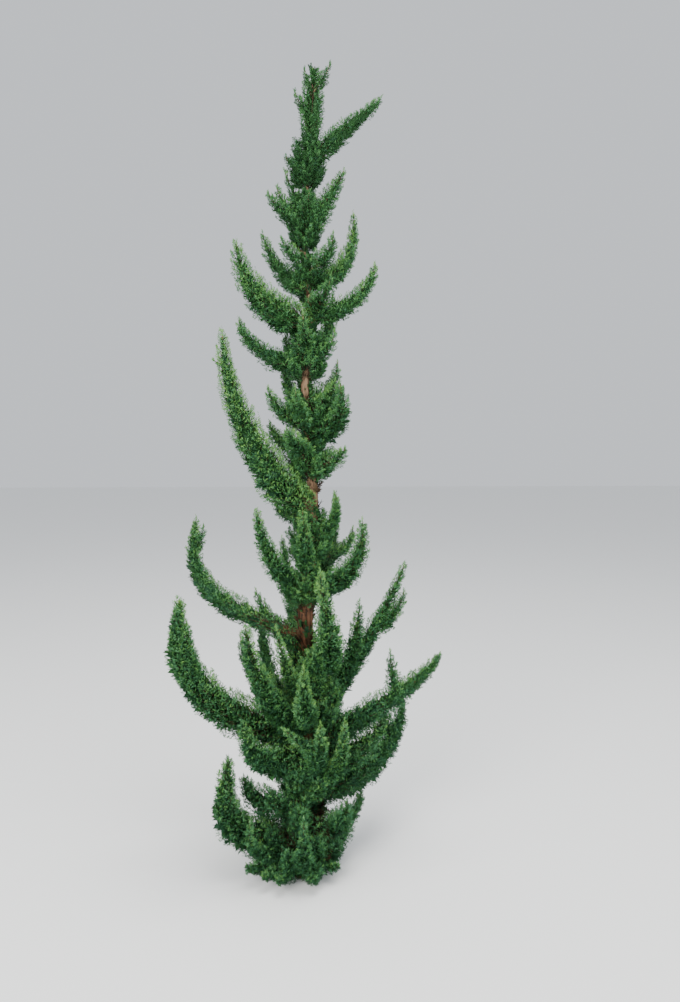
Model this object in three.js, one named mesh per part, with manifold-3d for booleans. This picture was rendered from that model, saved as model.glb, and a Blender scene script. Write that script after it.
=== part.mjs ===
// Lawson cypress, a narrow form with a few dense upswept arms, 3 m tall.
// Millimetres, +Z up, +Y away from the viewer. The origin is the middle of the trunk's flat foot.
import * as THREE from "three";
import { mergeVertices } from "three/addons/utils/BufferGeometryUtils.js";
import Module from "manifold-3d";

const wasm = await Module();
wasm.setup();

// Trunk: height, radii, root flare, and the heights and sideways offsets between which it sways
const TRUNK_HEIGHT = 2975;
const TRUNK_BASE_RADIUS = 44;
const TRUNK_TIP_RADIUS = 2.5;
const TRUNK_TAPER = 1.3;
const FLARE_RADIUS = 20;
const FLARE_HEIGHT = 70;
const FLARE_LOBES = 5;
const FLARE_LOBE_DEPTH = 0.14;
const SWAY_HEIGHTS = [0, 440, 950, 1420, 1840, 2080, 2370, TRUNK_HEIGHT];
const SWAY_OFFSETS = [0, 36, 20, 48, 22, 42, 22, 54];
const DEPTH_SWAY = 12;
const DEPTH_SWAY_LENGTH = 1300;
const TRUNK_SIDES = 8;
const TRUNK_RINGS = 20;

// Clearance between neighbours, and how far a bough's tip is sunk in its mass
const GAP = 0.4;
const SOCKET = 18;

// Boughs: radius at the trunk beside the arm's thickness, and what is left of it at the mass
const BOUGH_ROOT_SHARE = 0.3;
const BOUGH_TIP_SHARE = 0.75;
const BOUGH_SIDES = 6;
const BOUGH_RINGS = 2;

// Outline of an arm's foliage: narrow at the root, full at the shoulder, drawn out to the tip
const ROOT_SHARE = 0.6;
const SHOULDER_AT = 0.24;
const TIP_SHARE = 0.12;
const TIP_TAPER = 0.7;
const LEAF_START = 45;
const LEAF_START_IN_COLLAR = 0.95;
const LATEST_LEAF_START = 0.5;
const BODY_FROM = 0.75;
const BODY_TO = 1.15;

// Dense core inside the outline, with teeth at every other corner
const CORE_SHARE = 0.8;
const CORE_SIDES = 6;
const CORE_RING_STEP = 1.35;
const CORE_RINGS_LEAST = 3;
const TOOTH = 0.2;
const TOOTH_LEAN = 0.35;
const STEM_SHARE = 0.25;
const STEM_LEAST = 6;

// Sprays: flat three-sided blades with a ridge, swept towards the tip and lifted
const SPRAY_SIDES = 3;
const SPRAY_WIDTH_SHARE = 0.2;
const SPRAY_THICKNESS_SHARE = 0.09;
const SPRAY_WIDEST_AT = 0.62;
const SPRAY_LENGTH_SHARE = 1.75;
const SPRAY_LENGTH_CHANCE = 0.3;
const SPRAYS_PER_THICKNESS = 0.62;
const SPRAYS_LEAST = 2;
const SPRAY_SWEEP = 0.72;
const SPRAY_TIP_SWEEP = 0.9;
const SPRAY_LIFT = 0.34;
const SPRAY_ROLL = 1.6;
const SPRAY_STRAY = 40;
const SPRAY_ROOM = 1.12;
const LOWEST_SPRAY = 6;
const SPRAY_PLACE = 0.6;
const GOLDEN_ANGLE = 137.5;

// Seeds: each mass starts from its own
const ARM_SEEDS = 1000;
const COLLAR_SEEDS = 5000;
const SEED_STEP = 10;
const FORK_SEEDS = 5;

// Collars: their core, their round ends and their own sprays
const COLLAR_CORE_SHARE = 0.82;
const COLLAR_SIDES = 6;
const COLLAR_RING_STEP = 70;
const COLLAR_RINGS_LEAST = 2;
const COLLAR_SKIN = 7;
const COLLAR_CAP = 12;
const COLLAR_ROUND_FROM = 0.12;
const COLLAR_ROUND_TO = 0.92;
const COLLAR_ROUND_POWER = 0.6;
const COLLAR_SPRAYS_LEAST = 3;
const COLLAR_SPRAY_STEP = 45;
const COLLAR_SPRAY_TOP = 0.25;
const COLLAR_SPRAY_REACH = 1.12;
const COLLAR_SPRAY_STRETCH = 1.5;
const COLLAR_SPRAY_SHORTEST = 26;
const COLLAR_SPRAY_PLACE = 0.4;
const COLLAR_SPRAY_HEADING = { out: 0.66, up: 0.75 };

const BARK = { color: 0x7a4a32, roughness: 0.95, metalness: 0 };
const BOUGH_BARK = { color: 0x6d4630, roughness: 0.95, metalness: 0 };
const GREEN = { color: 0x2c6b3e, roughness: 0.85, metalness: 0 };

// Arms. at: height of the root on the trunk. turn: heading in degrees, from +X towards +Y.
// out, up: reach and rise of the tip. bend: how soon it stops going out. lift: how late it rises.
// curl: turn added by the tip. thick: half the width of its foliage.
const ARMS = {
  right_1: { at: 2636, turn: 345, out: 264, up: 246, bend: 1.3, lift: 0.86, curl: 13, thick: 54 },
  right_2: { at: 2215, turn: 18, out: 228, up: 308, bend: 1.8, lift: 1.7, curl: 22, thick: 54 },
  right_3: { at: 2086, turn: 350, out: 235, up: 204, bend: 1.9, lift: 1.4, curl: 6, thick: 56 },
  right_4: { at: 1660, turn: 350, out: 170, up: 192, bend: 2.0, lift: 1.8, curl: -40, thick: 72 },
  right_5: { at: 1083, turn: 352, out: 236, up: 285, bend: 1.9, lift: 1.7, curl: -25, thick: 70 },
  right_6: { at: 588, turn: 8, out: 366, up: 607, bend: 1.2, lift: 1.2, curl: -8, thick: 64 },
  right_7: { at: 478, turn: 346, out: 497, up: 364, bend: 1.4, lift: 0.95, curl: 12, thick: 72 },
  right_8: { at: 276, turn: 24, out: 484, up: 292, bend: 1.7, lift: 1.7, curl: 10, thick: 90 },
  left_1: { at: 2066, turn: 188, out: 269, up: 289, bend: 1.7, lift: 1.7, curl: 4, thick: 92 },
  left_2: { at: 2190, turn: 150, out: 198, up: 239, bend: 1.4, lift: 1.5, curl: 0, thick: 56 },
  left_3: { at: 1910, turn: 170, out: 252, up: 189, bend: 1.8, lift: 1.4, curl: 0, thick: 58 },
  left_4: { at: 1400, turn: 194, out: 328, up: 650, bend: 1.8, lift: 1.4, curl: -5, thick: 94 },
  left_5: { at: 1030, turn: 200, out: 213, up: 375, bend: 1.6, lift: 1.0, curl: 16, thick: 62 },
  left_6: { at: 918, turn: 168, out: 484, up: 426, bend: 3.2, lift: 1.15, curl: -15, thick: 62 },
  left_7: { at: 845, turn: 158, out: 205, up: 230, bend: 1.5, lift: 1.2, curl: 0, thick: 56 },
  left_8: { at: 565, turn: 212, out: 396, up: 474, bend: 1.1, lift: 1.6, curl: 25, thick: 78 },
  left_9: { at: 490, turn: 198, out: 524, up: 630, bend: 2.95, lift: 1.02, curl: 15, thick: 94 },
  left_10: { at: 448, turn: 224, out: 290, up: 201, bend: 2.2, lift: 2.5, curl: -10, thick: 96 },
  left_11: { at: 104, turn: 192, out: 309, up: 414, bend: 3.9, lift: 1.4, curl: 20, thick: 92 },
  front_1: { at: 2115, turn: 305, out: 110, up: 110, bend: 1.7, lift: 1.4, curl: 5, thick: 64 },
  front_2: { at: 800, turn: 310, out: 213, up: 401, bend: 2.6, lift: 1.76, curl: -28, thick: 78 },
  back_1: { at: 2440, turn: 75, out: 130, up: 170, bend: 1.8, lift: 1.4, curl: 0, thick: 38 },
  back_2: { at: 2150, turn: 98, out: 170, up: 240, bend: 2.0, lift: 1.4, curl: 0, thick: 46 },
  back_3: { at: 1960, turn: 60, out: 200, up: 260, bend: 2.0, lift: 1.4, curl: 0, thick: 50 },
  back_4: { at: 1760, turn: 118, out: 180, up: 220, bend: 2.0, lift: 1.4, curl: 0, thick: 48 },
  back_5: { at: 1560, turn: 78, out: 230, up: 330, bend: 2.0, lift: 1.4, curl: 10, thick: 56 },
  back_6: { at: 1290, turn: 108, out: 280, up: 400, bend: 2.0, lift: 1.3, curl: -10, thick: 60 },
  back_7: { at: 1060, turn: 62, out: 260, up: 380, bend: 2.0, lift: 1.3, curl: 0, thick: 58 },
  back_8: { at: 780, turn: 96, out: 360, up: 470, bend: 2.0, lift: 1.2, curl: 10, thick: 64 },
  back_9: { at: 480, turn: 128, out: 400, up: 440, bend: 1.9, lift: 1.2, curl: -10, thick: 70 },
  back_10: { at: 300, turn: 70, out: 420, up: 460, bend: 1.9, lift: 1.3, curl: 0, thick: 72 },
};

// Share of an arm that is a bare bough, and the share at which an arm is parted at its bend
const BARE = {
  right_6: 0.2, right_7: 0.2, right_8: 0.22,
  left_4: 0.13, left_6: 0.15, left_8: 0.2, left_9: 0.16, left_11: 0.2,
};
const PARTED = { right_6: 0.6, right_7: 0.6, left_1: 0.55, left_4: 0.5, left_6: 0.5, left_9: 0.5 };

// Side shoots that fork from an arm at a share of its way, fused to the mass that they leave
const FORKS = [
  { on: "right_6", share: 0.33, turn: 330, out: 60, up: 296, bend: 1.6, lift: 1.2, curl: 0, thick: 60 },
  { on: "right_6", share: 0.6, turn: 350, out: 118, up: 165, bend: 1.6, lift: 1.2, curl: 0, thick: 52 },
  { on: "right_7", share: 0.55, turn: 130, out: 40, up: 165, bend: 1.6, lift: 1.2, curl: 0, thick: 46 },
  { on: "right_7", share: 0.66, turn: 285, out: 30, up: 25, bend: 1.6, lift: 1.2, curl: 0, thick: 56 },
  { on: "right_8", share: 0.66, turn: 200, out: 40, up: 150, bend: 1.6, lift: 1.2, curl: 0, thick: 62 },
  { on: "left_4", share: 0.85, turn: 190, out: 40, up: 12, bend: 1.4, lift: 1.4, curl: 0, thick: 32 },
  { on: "left_6", share: 0.72, turn: 20, out: 40, up: 100, bend: 1.6, lift: 1.2, curl: 0, thick: 34 },
  { on: "left_8", share: 0.66, turn: 180, out: 60, up: 160, bend: 1.8, lift: 1.2, curl: 0, thick: 38 },
  { on: "left_9", share: 0.5, turn: 262, out: 70, up: 230, bend: 2.0, lift: 1.2, curl: 0, thick: 58 },
  { on: "front_2", share: 0.5, turn: 190, out: 25, up: 150, bend: 1.6, lift: 1.2, curl: 0, thick: 60 },
];

// Collars of foliage close round the trunk, each with the short shoots that it carries
const COLLARS = {
  leader: { low: 2720, high: 2980, thick: 46, shoots: [
    { at: 2826, turn: 170, out: 62, up: 82, bend: 1.6, lift: 1.2, curl: 0, thick: 34 },
    { at: 2898, turn: 350, out: 62, up: 100, bend: 1.4, lift: 1.0, curl: 0, thick: 34 },
    { at: 2880, turn: 190, out: 30, up: 98, bend: 1.2, lift: 1.0, curl: 0, thick: 26 },
  ] },
  collar_1: { low: 2560, high: 2750, thick: 76, shoots: [
    { at: 2590, turn: 200, out: 80, up: 70, bend: 1.6, lift: 1.2, curl: 0, thick: 42 },
    { at: 2600, turn: 80, out: 90, up: 100, bend: 1.8, lift: 1.3, curl: 0, thick: 40 },
  ] },
  collar_2: { low: 2335, high: 2545, thick: 68, shoots: [
    { at: 2475, turn: 155, out: 85, up: 160, bend: 1.0, lift: 1.4, curl: 0, thick: 42 },
    { at: 2410, turn: 195, out: 135, up: 115, bend: 1.4, lift: 1.1, curl: 0, thick: 54 },
    { at: 2385, turn: 20, out: 150, up: 255, bend: 1.2, lift: 1.0, curl: -5, thick: 60 },
    { at: 2380, turn: 280, out: 90, up: 135, bend: 0.9, lift: 0.8, curl: 0, thick: 56 },
    { at: 2440, turn: 178, out: 100, up: 120, bend: 1.6, lift: 1.2, curl: 0, thick: 44 },
    { at: 2430, turn: 8, out: 84, up: 110, bend: 1.6, lift: 1.2, curl: 0, thick: 38 },
  ] },
  collar_3: { low: 2215, high: 2325, thick: 70, shoots: [
    { at: 2260, turn: 325, out: 115, up: 118, bend: 2.1, lift: 1.5, curl: 0, thick: 58 },
    { at: 2245, turn: 205, out: 100, up: 120, bend: 1.6, lift: 0.8, curl: 0, thick: 50 },
  ] },
  collar_4: { low: 1865, high: 2055, thick: 90, shoots: [
    { at: 1945, turn: 262, out: 120, up: 150, bend: 1.2, lift: 1.4, curl: 0, thick: 54 },
    { at: 1920, turn: 125, out: 140, up: 140, bend: 1.8, lift: 1.4, curl: 0, thick: 50 },
    { at: 1930, turn: 335, out: 110, up: 110, bend: 1.8, lift: 1.4, curl: 0, thick: 44 },
  ] },
  collar_5: { low: 1685, high: 1835, thick: 108, shoots: [
    { at: 1745, turn: 320, out: 135, up: 115, bend: 1.9, lift: 1.1, curl: 0, thick: 56 },
    { at: 1700, turn: 192, out: 145, up: 140, bend: 1.8, lift: 1.3, curl: 0, thick: 54 },
    { at: 1720, turn: 250, out: 120, up: 115, bend: 2.1, lift: 1.5, curl: 0, thick: 52 },
    { at: 1800, turn: 15, out: 125, up: 145, bend: 2.2, lift: 1.7, curl: 0, thick: 48 },
    { at: 1695, turn: 5, out: 125, up: 160, bend: 2.2, lift: 1.2, curl: 0, thick: 60 },
  ] },
  collar_6: { low: 1505, high: 1650, thick: 102, shoots: [
    { at: 1540, turn: 240, out: 175, up: 145, bend: 1.5, lift: 0.8, curl: 0, thick: 64 },
    { at: 1530, turn: 330, out: 140, up: 85, bend: 1.9, lift: 0.8, curl: 0, thick: 62 },
    { at: 1600, turn: 140, out: 200, up: 120, bend: 1.8, lift: 1.5, curl: 0, thick: 56 },
  ] },
  collar_7: { low: 1190, high: 1390, thick: 88, shoots: [
    { at: 1340, turn: 140, out: 180, up: 70, bend: 2.0, lift: 1.6, curl: 0, thick: 48 },
    { at: 1230, turn: 345, out: 135, up: 225, bend: 2.1, lift: 0.8, curl: -35, thick: 42 },
    { at: 1200, turn: 35, out: 210, up: 110, bend: 2.2, lift: 2.0, curl: 0, thick: 44 },
  ] },
  collar_8: { low: 1040, high: 1175, thick: 90, shoots: [
    { at: 1115, turn: 262, out: 130, up: 290, bend: 1.0, lift: 1.2, curl: 0, thick: 62 },
  ] },
  collar_9: { low: 560, high: 870, thick: 132, shoots: [
    { at: 700, turn: 236, out: 200, up: 295, bend: 1.2, lift: 2.0, curl: 0, thick: 50 },
    { at: 600, turn: 265, out: 230, up: 260, bend: 2.4, lift: 1.4, curl: 0, thick: 62 },
  ] },
  collar_10: { low: 270, high: 550, thick: 120, shoots: [
    { at: 330, turn: 318, out: 235, up: 300, bend: 1.2, lift: 1.0, curl: -72, thick: 60 },
    { at: 365, turn: 312, out: 190, up: 270, bend: 3.0, lift: 1.5, curl: 0, thick: 52 },
    { at: 420, turn: 280, out: 200, up: 220, bend: 2.4, lift: 1.4, curl: 0, thick: 60 },
    { at: 400, turn: 5, out: 290, up: 190, bend: 1.8, lift: 1.6, curl: 0, thick: 88 },
  ] },
  collar_11: { low: 8, high: 260, thick: 196, shoots: [
    { at: 215, turn: 197, out: 240, up: 185, bend: 1.8, lift: 1.4, curl: 0, thick: 90 },
    { at: 70, turn: 272, out: 230, up: 240, bend: 2.7, lift: 1.8, curl: 0, thick: 56 },
    { at: 70, turn: 212, out: 290, up: 235, bend: 1.9, lift: 1.7, curl: 20, thick: 44 },
    { at: 150, turn: 318, out: 215, up: 180, bend: 2.2, lift: 1.6, curl: 0, thick: 84 },
    { at: 90, turn: 100, out: 290, up: 220, bend: 2.2, lift: 1.6, curl: 0, thick: 58 },
    { at: 100, turn: 20, out: 250, up: 170, bend: 2.2, lift: 1.6, curl: 0, thick: 56 },
    { at: 40, turn: 248, out: 215, up: 30, bend: 2.0, lift: 1.3, curl: 0, thick: 46 },
    { at: 40, turn: 285, out: 205, up: 30, bend: 2.0, lift: 1.3, curl: 0, thick: 46 },
    { at: 46, turn: 216, out: 245, up: 50, bend: 2.0, lift: 1.3, curl: 0, thick: 50 },
    { at: 225, turn: 222, out: 175, up: 135, bend: 1.8, lift: 1.3, curl: 0, thick: 84 },
    { at: 44, turn: 316, out: 190, up: 34, bend: 2.0, lift: 1.3, curl: 0, thick: 46 },
    { at: 42, turn: 232, out: 222, up: 32, bend: 2.0, lift: 1.3, curl: 0, thick: 46 },
    { at: 200, turn: 262, out: 165, up: 110, bend: 1.8, lift: 1.3, curl: 0, thick: 84 },
  ] },
};

const MERGE_WITHIN = 1e-5;
const CHANCE = { factor: 1664525, step: 1013904223, span: 2 ** 32 };
const DEGREE = Math.PI / 180;
const UP = new THREE.Vector3(0, 0, 1);
const SIDEWAYS = new THREE.Vector3(0, 1, 0);

// Repeatable chance, 0 to 1
function chanceFrom(seed) {
  let state = seed;
  return () => {
    state = (state * CHANCE.factor + CHANCE.step) % CHANCE.span;
    return state / CHANCE.span;
  };
}

// Middle of the trunk at a height: it sways from one offset to the next on half waves
function trunkAt(height) {
  const z = THREE.MathUtils.clamp(height, 0, TRUNK_HEIGHT);
  const above = SWAY_HEIGHTS.findIndex((mark) => mark > z);
  const k = above < 0 ? SWAY_HEIGHTS.length - 2 : above - 1;
  const share = (z - SWAY_HEIGHTS[k]) / (SWAY_HEIGHTS[k + 1] - SWAY_HEIGHTS[k]);
  const swing = (1 - Math.cos(Math.PI * share)) / 2;
  const x = THREE.MathUtils.lerp(SWAY_OFFSETS[k], SWAY_OFFSETS[k + 1], swing);
  const y = DEPTH_SWAY * Math.sin((2 * Math.PI * z) / DEPTH_SWAY_LENGTH);
  return new THREE.Vector3(x, y, height);
}

function trunkRadius(height) {
  const left = THREE.MathUtils.clamp(1 - height / TRUNK_HEIGHT, 0, 1);
  const shaft = TRUNK_TIP_RADIUS + (TRUNK_BASE_RADIUS - TRUNK_TIP_RADIUS) * left ** TRUNK_TAPER;
  return shaft + FLARE_RADIUS * Math.exp(-height / FLARE_HEIGHT);
}

// Where an arm's middle line is at share t of its way: out on a slowing curve, up on a rising one
function armAt(arm, t) {
  const root = arm.on ? armAt(ARMS[arm.on], arm.share) : trunkAt(arm.at);
  const heading = (arm.turn + arm.curl * t) * DEGREE;
  const out = arm.out * (1 - (1 - t) ** arm.bend);
  const up = arm.up * t ** arm.lift;
  return root.add(new THREE.Vector3(out * Math.cos(heading), out * Math.sin(heading), up));
}

function armTangent(arm, t) {
  const step = 0.01;
  const before = armAt(arm, Math.max(t - step, 0));
  return armAt(arm, Math.min(t + step, 1)).sub(before).normalize();
}

// The level direction square to an arm's heading, which all of its rings share
function armSide(arm) {
  const heading = (arm.turn + arm.curl / 2) * DEGREE;
  return new THREE.Vector3(-Math.sin(heading), Math.cos(heading), 0);
}

function armLength(arm) {
  const steps = 40;
  let length = 0;
  for (let i = 0; i < steps; i += 1) {
    length += armAt(arm, i / steps).distanceTo(armAt(arm, (i + 1) / steps));
  }
  return length;
}

// Half the width of an arm's foliage at share t
function armOutline(arm, t) {
  const shoulder = Math.min(1, ROOT_SHARE + ((1 - ROOT_SHARE) * t) / SHOULDER_AT);
  return arm.thick * shoulder * (TIP_SHARE + (1 - TIP_SHARE) * (1 - t) ** TIP_TAPER);
}

// Share of an arm where its leaves start: clear of the collar that hugs the trunk at its root
function leafStart(arm, bare) {
  if (bare) return bare;
  const collar = Object.values(COLLARS).find(({ low, high }) => arm.at > low && arm.at < high);
  const distance = collar ? collar.thick * LEAF_START_IN_COLLAR : LEAF_START;
  return Math.min(LATEST_LEAF_START, distance / armLength(arm));
}

// Radius of a collar's foliage at a height: full in the middle, drawn in at both ends
function collarOutline(collar, z) {
  const share = THREE.MathUtils.clamp((z - collar.low) / (collar.high - collar.low), 0, 1);
  const swing = Math.sin(Math.PI * THREE.MathUtils.lerp(COLLAR_ROUND_FROM, COLLAR_ROUND_TO, share));
  return THREE.MathUtils.lerp(trunkRadius(z), collar.thick, swing ** COLLAR_ROUND_POWER);
}

// A closed geometry as a solid that can be joined and cut
function toSolid(geometry) {
  const bare = geometry.index ? geometry.toNonIndexed() : geometry;
  bare.deleteAttribute("normal");
  bare.deleteAttribute("uv");
  const merged = mergeVertices(bare, MERGE_WITHIN);
  return new wasm.Manifold(new wasm.Mesh({
    numProp: 3,
    vertProperties: new Float32Array(merged.attributes.position.array),
    triVerts: new Uint32Array(merged.index.array),
  }));
}

// A tapering limb: a cylinder's rings carried along a path, each square to it. Teeth stand out at
// every other corner, turn about from ring to ring, and lean towards the limb's tip.
function limb({ pathAt, tangentAt, side, radiusAt, low, high, sides, rings, toothed }) {
  const geometry = new THREE.CylinderGeometry(1, 1, 1, sides, rings);
  const position = geometry.attributes.position;
  const across = new THREE.Vector3();
  for (let i = 0; i < position.count; i += 1) {
    const ring = Math.round((position.getY(i) + 0.5) * rings);
    const angle = Math.atan2(position.getX(i), position.getZ(i));
    const corner = Math.round((angle / (2 * Math.PI)) * sides);
    const stands = toothed && ring > 0 && ring < rings;
    const peak = stands ? (Math.abs(ring + corner) % 2) * 2 - 1 : 0;
    const t = THREE.MathUtils.lerp(low, high, (ring + TOOTH_LEAN * Math.max(peak, 0)) / rings);
    const radius = radiusAt(t, angle) * (1 + TOOTH * peak);
    across.crossVectors(side, tangentAt(t)).normalize();
    const point = pathAt(t).addScaledVector(side, position.getX(i) * radius);
    point.addScaledVector(across, position.getZ(i) * radius);
    position.setXYZ(i, point.x, point.y, point.z);
  }
  return toSolid(geometry);
}

function trunkSolid(extra) {
  const radiusAt = (z, angle) => {
    const lobes = FLARE_LOBE_DEPTH * Math.cos(FLARE_LOBES * angle) * Math.exp(-z / FLARE_HEIGHT);
    return trunkRadius(z) * (1 + lobes) + extra;
  };
  const pathAt = (z) => trunkAt(z).setZ(z * (1 + extra / TRUNK_HEIGHT));
  return limb({
    pathAt, tangentAt: () => UP, side: SIDEWAYS, radiusAt,
    low: 0, high: TRUNK_HEIGHT, sides: TRUNK_SIDES, rings: TRUNK_RINGS, toothed: false,
  });
}

function armLimb(arm, radiusAt, low, high, sides, rings, toothed) {
  const pathAt = (t) => armAt(arm, t);
  const tangentAt = (t) => armTangent(arm, t);
  return limb({ pathAt, tangentAt, side: armSide(arm), radiusAt, low, high, sides, rings, toothed });
}

function boughSolid(arm, bare, extra) {
  const radiusAt = (t) => {
    const left = THREE.MathUtils.lerp(1, BOUGH_TIP_SHARE, t / bare);
    return arm.thick * BOUGH_ROOT_SHARE * left + extra;
  };
  return armLimb(arm, radiusAt, 0, bare + extra / armLength(arm), BOUGH_SIDES, BOUGH_RINGS, false);
}

// The dense core of an arm's foliage: a thin stem at the trunk, then a full body to the tip
function armCore(arm, { low = 0, high = 1, bare = 0, extra = 0, toothed = false } = {}) {
  const stem = Math.max(STEM_LEAST, arm.thick * STEM_SHARE);
  const start = leafStart(arm, bare);
  const radiusAt = (t) => {
    const body = armOutline(arm, t) * CORE_SHARE;
    const grown = bare ? 1 : THREE.MathUtils.smoothstep(t, start * BODY_FROM, start * BODY_TO);
    return THREE.MathUtils.lerp(stem, body, grown) + extra;
  };
  const steps = (armLength(arm) * (high - low)) / (arm.thick * CORE_RING_STEP);
  const rings = Math.max(CORE_RINGS_LEAST, Math.round(steps));
  return armLimb(arm, radiusAt, low, high, CORE_SIDES, rings, toothed);
}

function collarCore(collar, extra) {
  const radiusAt = (z) => {
    const skin = trunkRadius(z) + COLLAR_SKIN;
    return Math.max(skin, collarOutline(collar, z) * COLLAR_CORE_SHARE) + extra;
  };
  const steps = Math.round((collar.high - collar.low) / COLLAR_RING_STEP);
  return limb({
    pathAt: trunkAt, tangentAt: () => UP, side: SIDEWAYS, radiusAt,
    low: collar.low - extra, high: Math.min(collar.high, TRUNK_HEIGHT + COLLAR_CAP) + extra,
    sides: COLLAR_SIDES, rings: Math.max(COLLAR_RINGS_LEAST, steps), toothed: true,
  });
}

// A leafy spray: a flat blade from its root along its heading, widest past its middle
function spraySolid({ from, heading, flat, reach }, room = 1) {
  const profile = [[0, 0], [1, SPRAY_WIDEST_AT], [0, 1]].map(([x, y]) => new THREE.Vector2(x, y));
  const length = reach * room;
  const place = new THREE.Matrix4().makeBasis(
    flat.clone().multiplyScalar(length * SPRAY_WIDTH_SHARE),
    heading.clone().multiplyScalar(length),
    new THREE.Vector3().crossVectors(flat, heading).multiplyScalar(length * SPRAY_THICKNESS_SHARE),
  );
  place.setPosition(from.clone().addScaledVector(heading, (reach - length) / 2));
  return toSolid(new THREE.LatheGeometry(profile, SPRAY_SIDES).applyMatrix4(place));
}

// Sprays stand round an arm's middle line by the golden angle, swept towards its tip and lifted
function armSprays(arm, low, high, seed) {
  const chance = chanceFrom(seed);
  const share = (armLength(arm) * (high - low)) / arm.thick;
  const count = Math.max(SPRAYS_LEAST, Math.round(share * SPRAYS_PER_THICKNESS));
  const side = armSide(arm);
  return Array.from({ length: count }, (_, i) => {
    const t = THREE.MathUtils.lerp(low, high, (i + SPRAY_PLACE) / count);
    const along = armTangent(arm, t);
    const across = new THREE.Vector3().crossVectors(side, along).normalize();
    const angle = (GOLDEN_ANGLE * i + SPRAY_STRAY * (chance() - 0.5)) * DEGREE;
    const outward = side.clone().multiplyScalar(Math.cos(angle)).addScaledVector(across, Math.sin(angle));
    const heading = outward.clone().addScaledVector(along, SPRAY_SWEEP + SPRAY_TIP_SWEEP * t * t);
    heading.addScaledVector(UP, SPRAY_LIFT).normalize();
    const round = new THREE.Vector3().crossVectors(outward, along);
    const flat = along.clone().addScaledVector(round, SPRAY_ROLL * (chance() - 0.5));
    flat.addScaledVector(heading, -flat.dot(heading)).normalize();
    const stretch = 1 + SPRAY_LENGTH_CHANCE * (chance() - 0.5);
    return { from: armAt(arm, t), heading, flat, reach: armOutline(arm, t) * SPRAY_LENGTH_SHARE * stretch };
  });
}

function collarSprays(collar, seed) {
  const chance = chanceFrom(seed);
  const count = COLLAR_SPRAYS_LEAST + Math.round((collar.high - collar.low) / COLLAR_SPRAY_STEP);
  const top = collar.high - COLLAR_SPRAY_TOP * collar.thick;
  return Array.from({ length: count }, (_, i) => {
    const z = THREE.MathUtils.lerp(collar.low, top, (i + COLLAR_SPRAY_PLACE) / count);
    const angle = (GOLDEN_ANGLE * i + SPRAY_STRAY * (chance() - 0.5)) * DEGREE;
    const outward = new THREE.Vector3(Math.cos(angle), Math.sin(angle), 0);
    const heading = outward.clone().multiplyScalar(COLLAR_SPRAY_HEADING.out);
    heading.addScaledVector(UP, COLLAR_SPRAY_HEADING.up).normalize();
    const flat = UP.clone().addScaledVector(heading, -heading.z).normalize();
    const inner = (trunkRadius(z) + collarOutline(collar, z) * COLLAR_CORE_SHARE) / 2;
    const stands = (collarOutline(collar, z) * COLLAR_SPRAY_REACH - inner) * COLLAR_SPRAY_STRETCH;
    const stretch = 1 + SPRAY_LENGTH_CHANCE * (chance() - 0.5);
    const reach = Math.max(COLLAR_SPRAY_SHORTEST, stands) * stretch;
    return { from: trunkAt(z).addScaledVector(outward, inner), heading, flat, reach };
  });
}

function boxesMeet(a, b) {
  const one = a.boundingBox();
  const two = b.boundingBox();
  return [0, 1, 2].every((k) => one.min[k] <= two.max[k] && two.min[k] <= one.max[k]);
}

function touches(solid, others) {
  return others.some((other) => boxesMeet(solid, other) && !solid.intersect(other).isEmpty());
}

function cutClear(solid, others) {
  return others.reduce((left, other) => (boxesMeet(left, other) ? left.subtract(other) : left), solid);
}

function joined(solids) {
  return wasm.Manifold.union(solids);
}

function largestPiece(solid) {
  return solid.decompose().reduce((best, piece) => (piece.volume() > best.volume() ? piece : best));
}

// Joins to a core every spray that keeps clear of the ground, the limbs and the other masses
function leafOut(core, sprays, others) {
  const kept = sprays.filter((spray) => {
    const room = spraySolid(spray, SPRAY_ROOM);
    return room.boundingBox().min[2] > LOWEST_SPRAY && !touches(room, others);
  });
  return largestPiece(joined([core, ...kept.map((spray) => spraySolid(spray))]));
}

// An arm's masses: one, or two where it is parted, each with its core, the room that it claims
// and its sprays, and with the forks that leave it
function armMasses(name, seed) {
  const arm = ARMS[name];
  const bare = BARE[name] ?? 0;
  const start = bare ? bare - SOCKET / armLength(arm) : 0;
  const parting = GAP / 2 / armLength(arm);
  const stretches = PARTED[name]
    ? [["_low", start, PARTED[name] - parting], ["_high", PARTED[name] + parting, 1]]
    : [["", start, 1]];
  return stretches.map(([ending, low, high], k) => {
    const forks = FORKS.filter(({ on, share }) => on === name && share > low && share < high);
    const coreWith = (extra) => joined([
      armCore(arm, { low, high, bare, extra, toothed: true }),
      ...forks.map((fork) => armCore(fork, { extra })),
    ]);
    const sprays = [
      ...armSprays(arm, Math.max(low, leafStart(arm, bare)), high, seed + k),
      ...forks.flatMap((fork, j) => armSprays(fork, leafStart(fork), 1, seed + j + FORK_SEEDS)),
    ];
    return { name: `mass_${name}${ending}`, core: coreWith(0), room: coreWith(GAP), sprays };
  });
}

function collarMass(name, seed) {
  const collar = COLLARS[name];
  const coreWith = (extra) => joined([
    collarCore(collar, extra),
    ...collar.shoots.map((shoot) => armCore(shoot, { extra })),
  ]);
  const sprays = [
    ...collarSprays(collar, seed),
    ...collar.shoots.flatMap((shoot, k) => armSprays(shoot, leafStart(shoot), 1, seed + k + 1)),
  ];
  return { name: `mass_${name}`, core: coreWith(0), room: coreWith(GAP), sprays };
}

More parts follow.
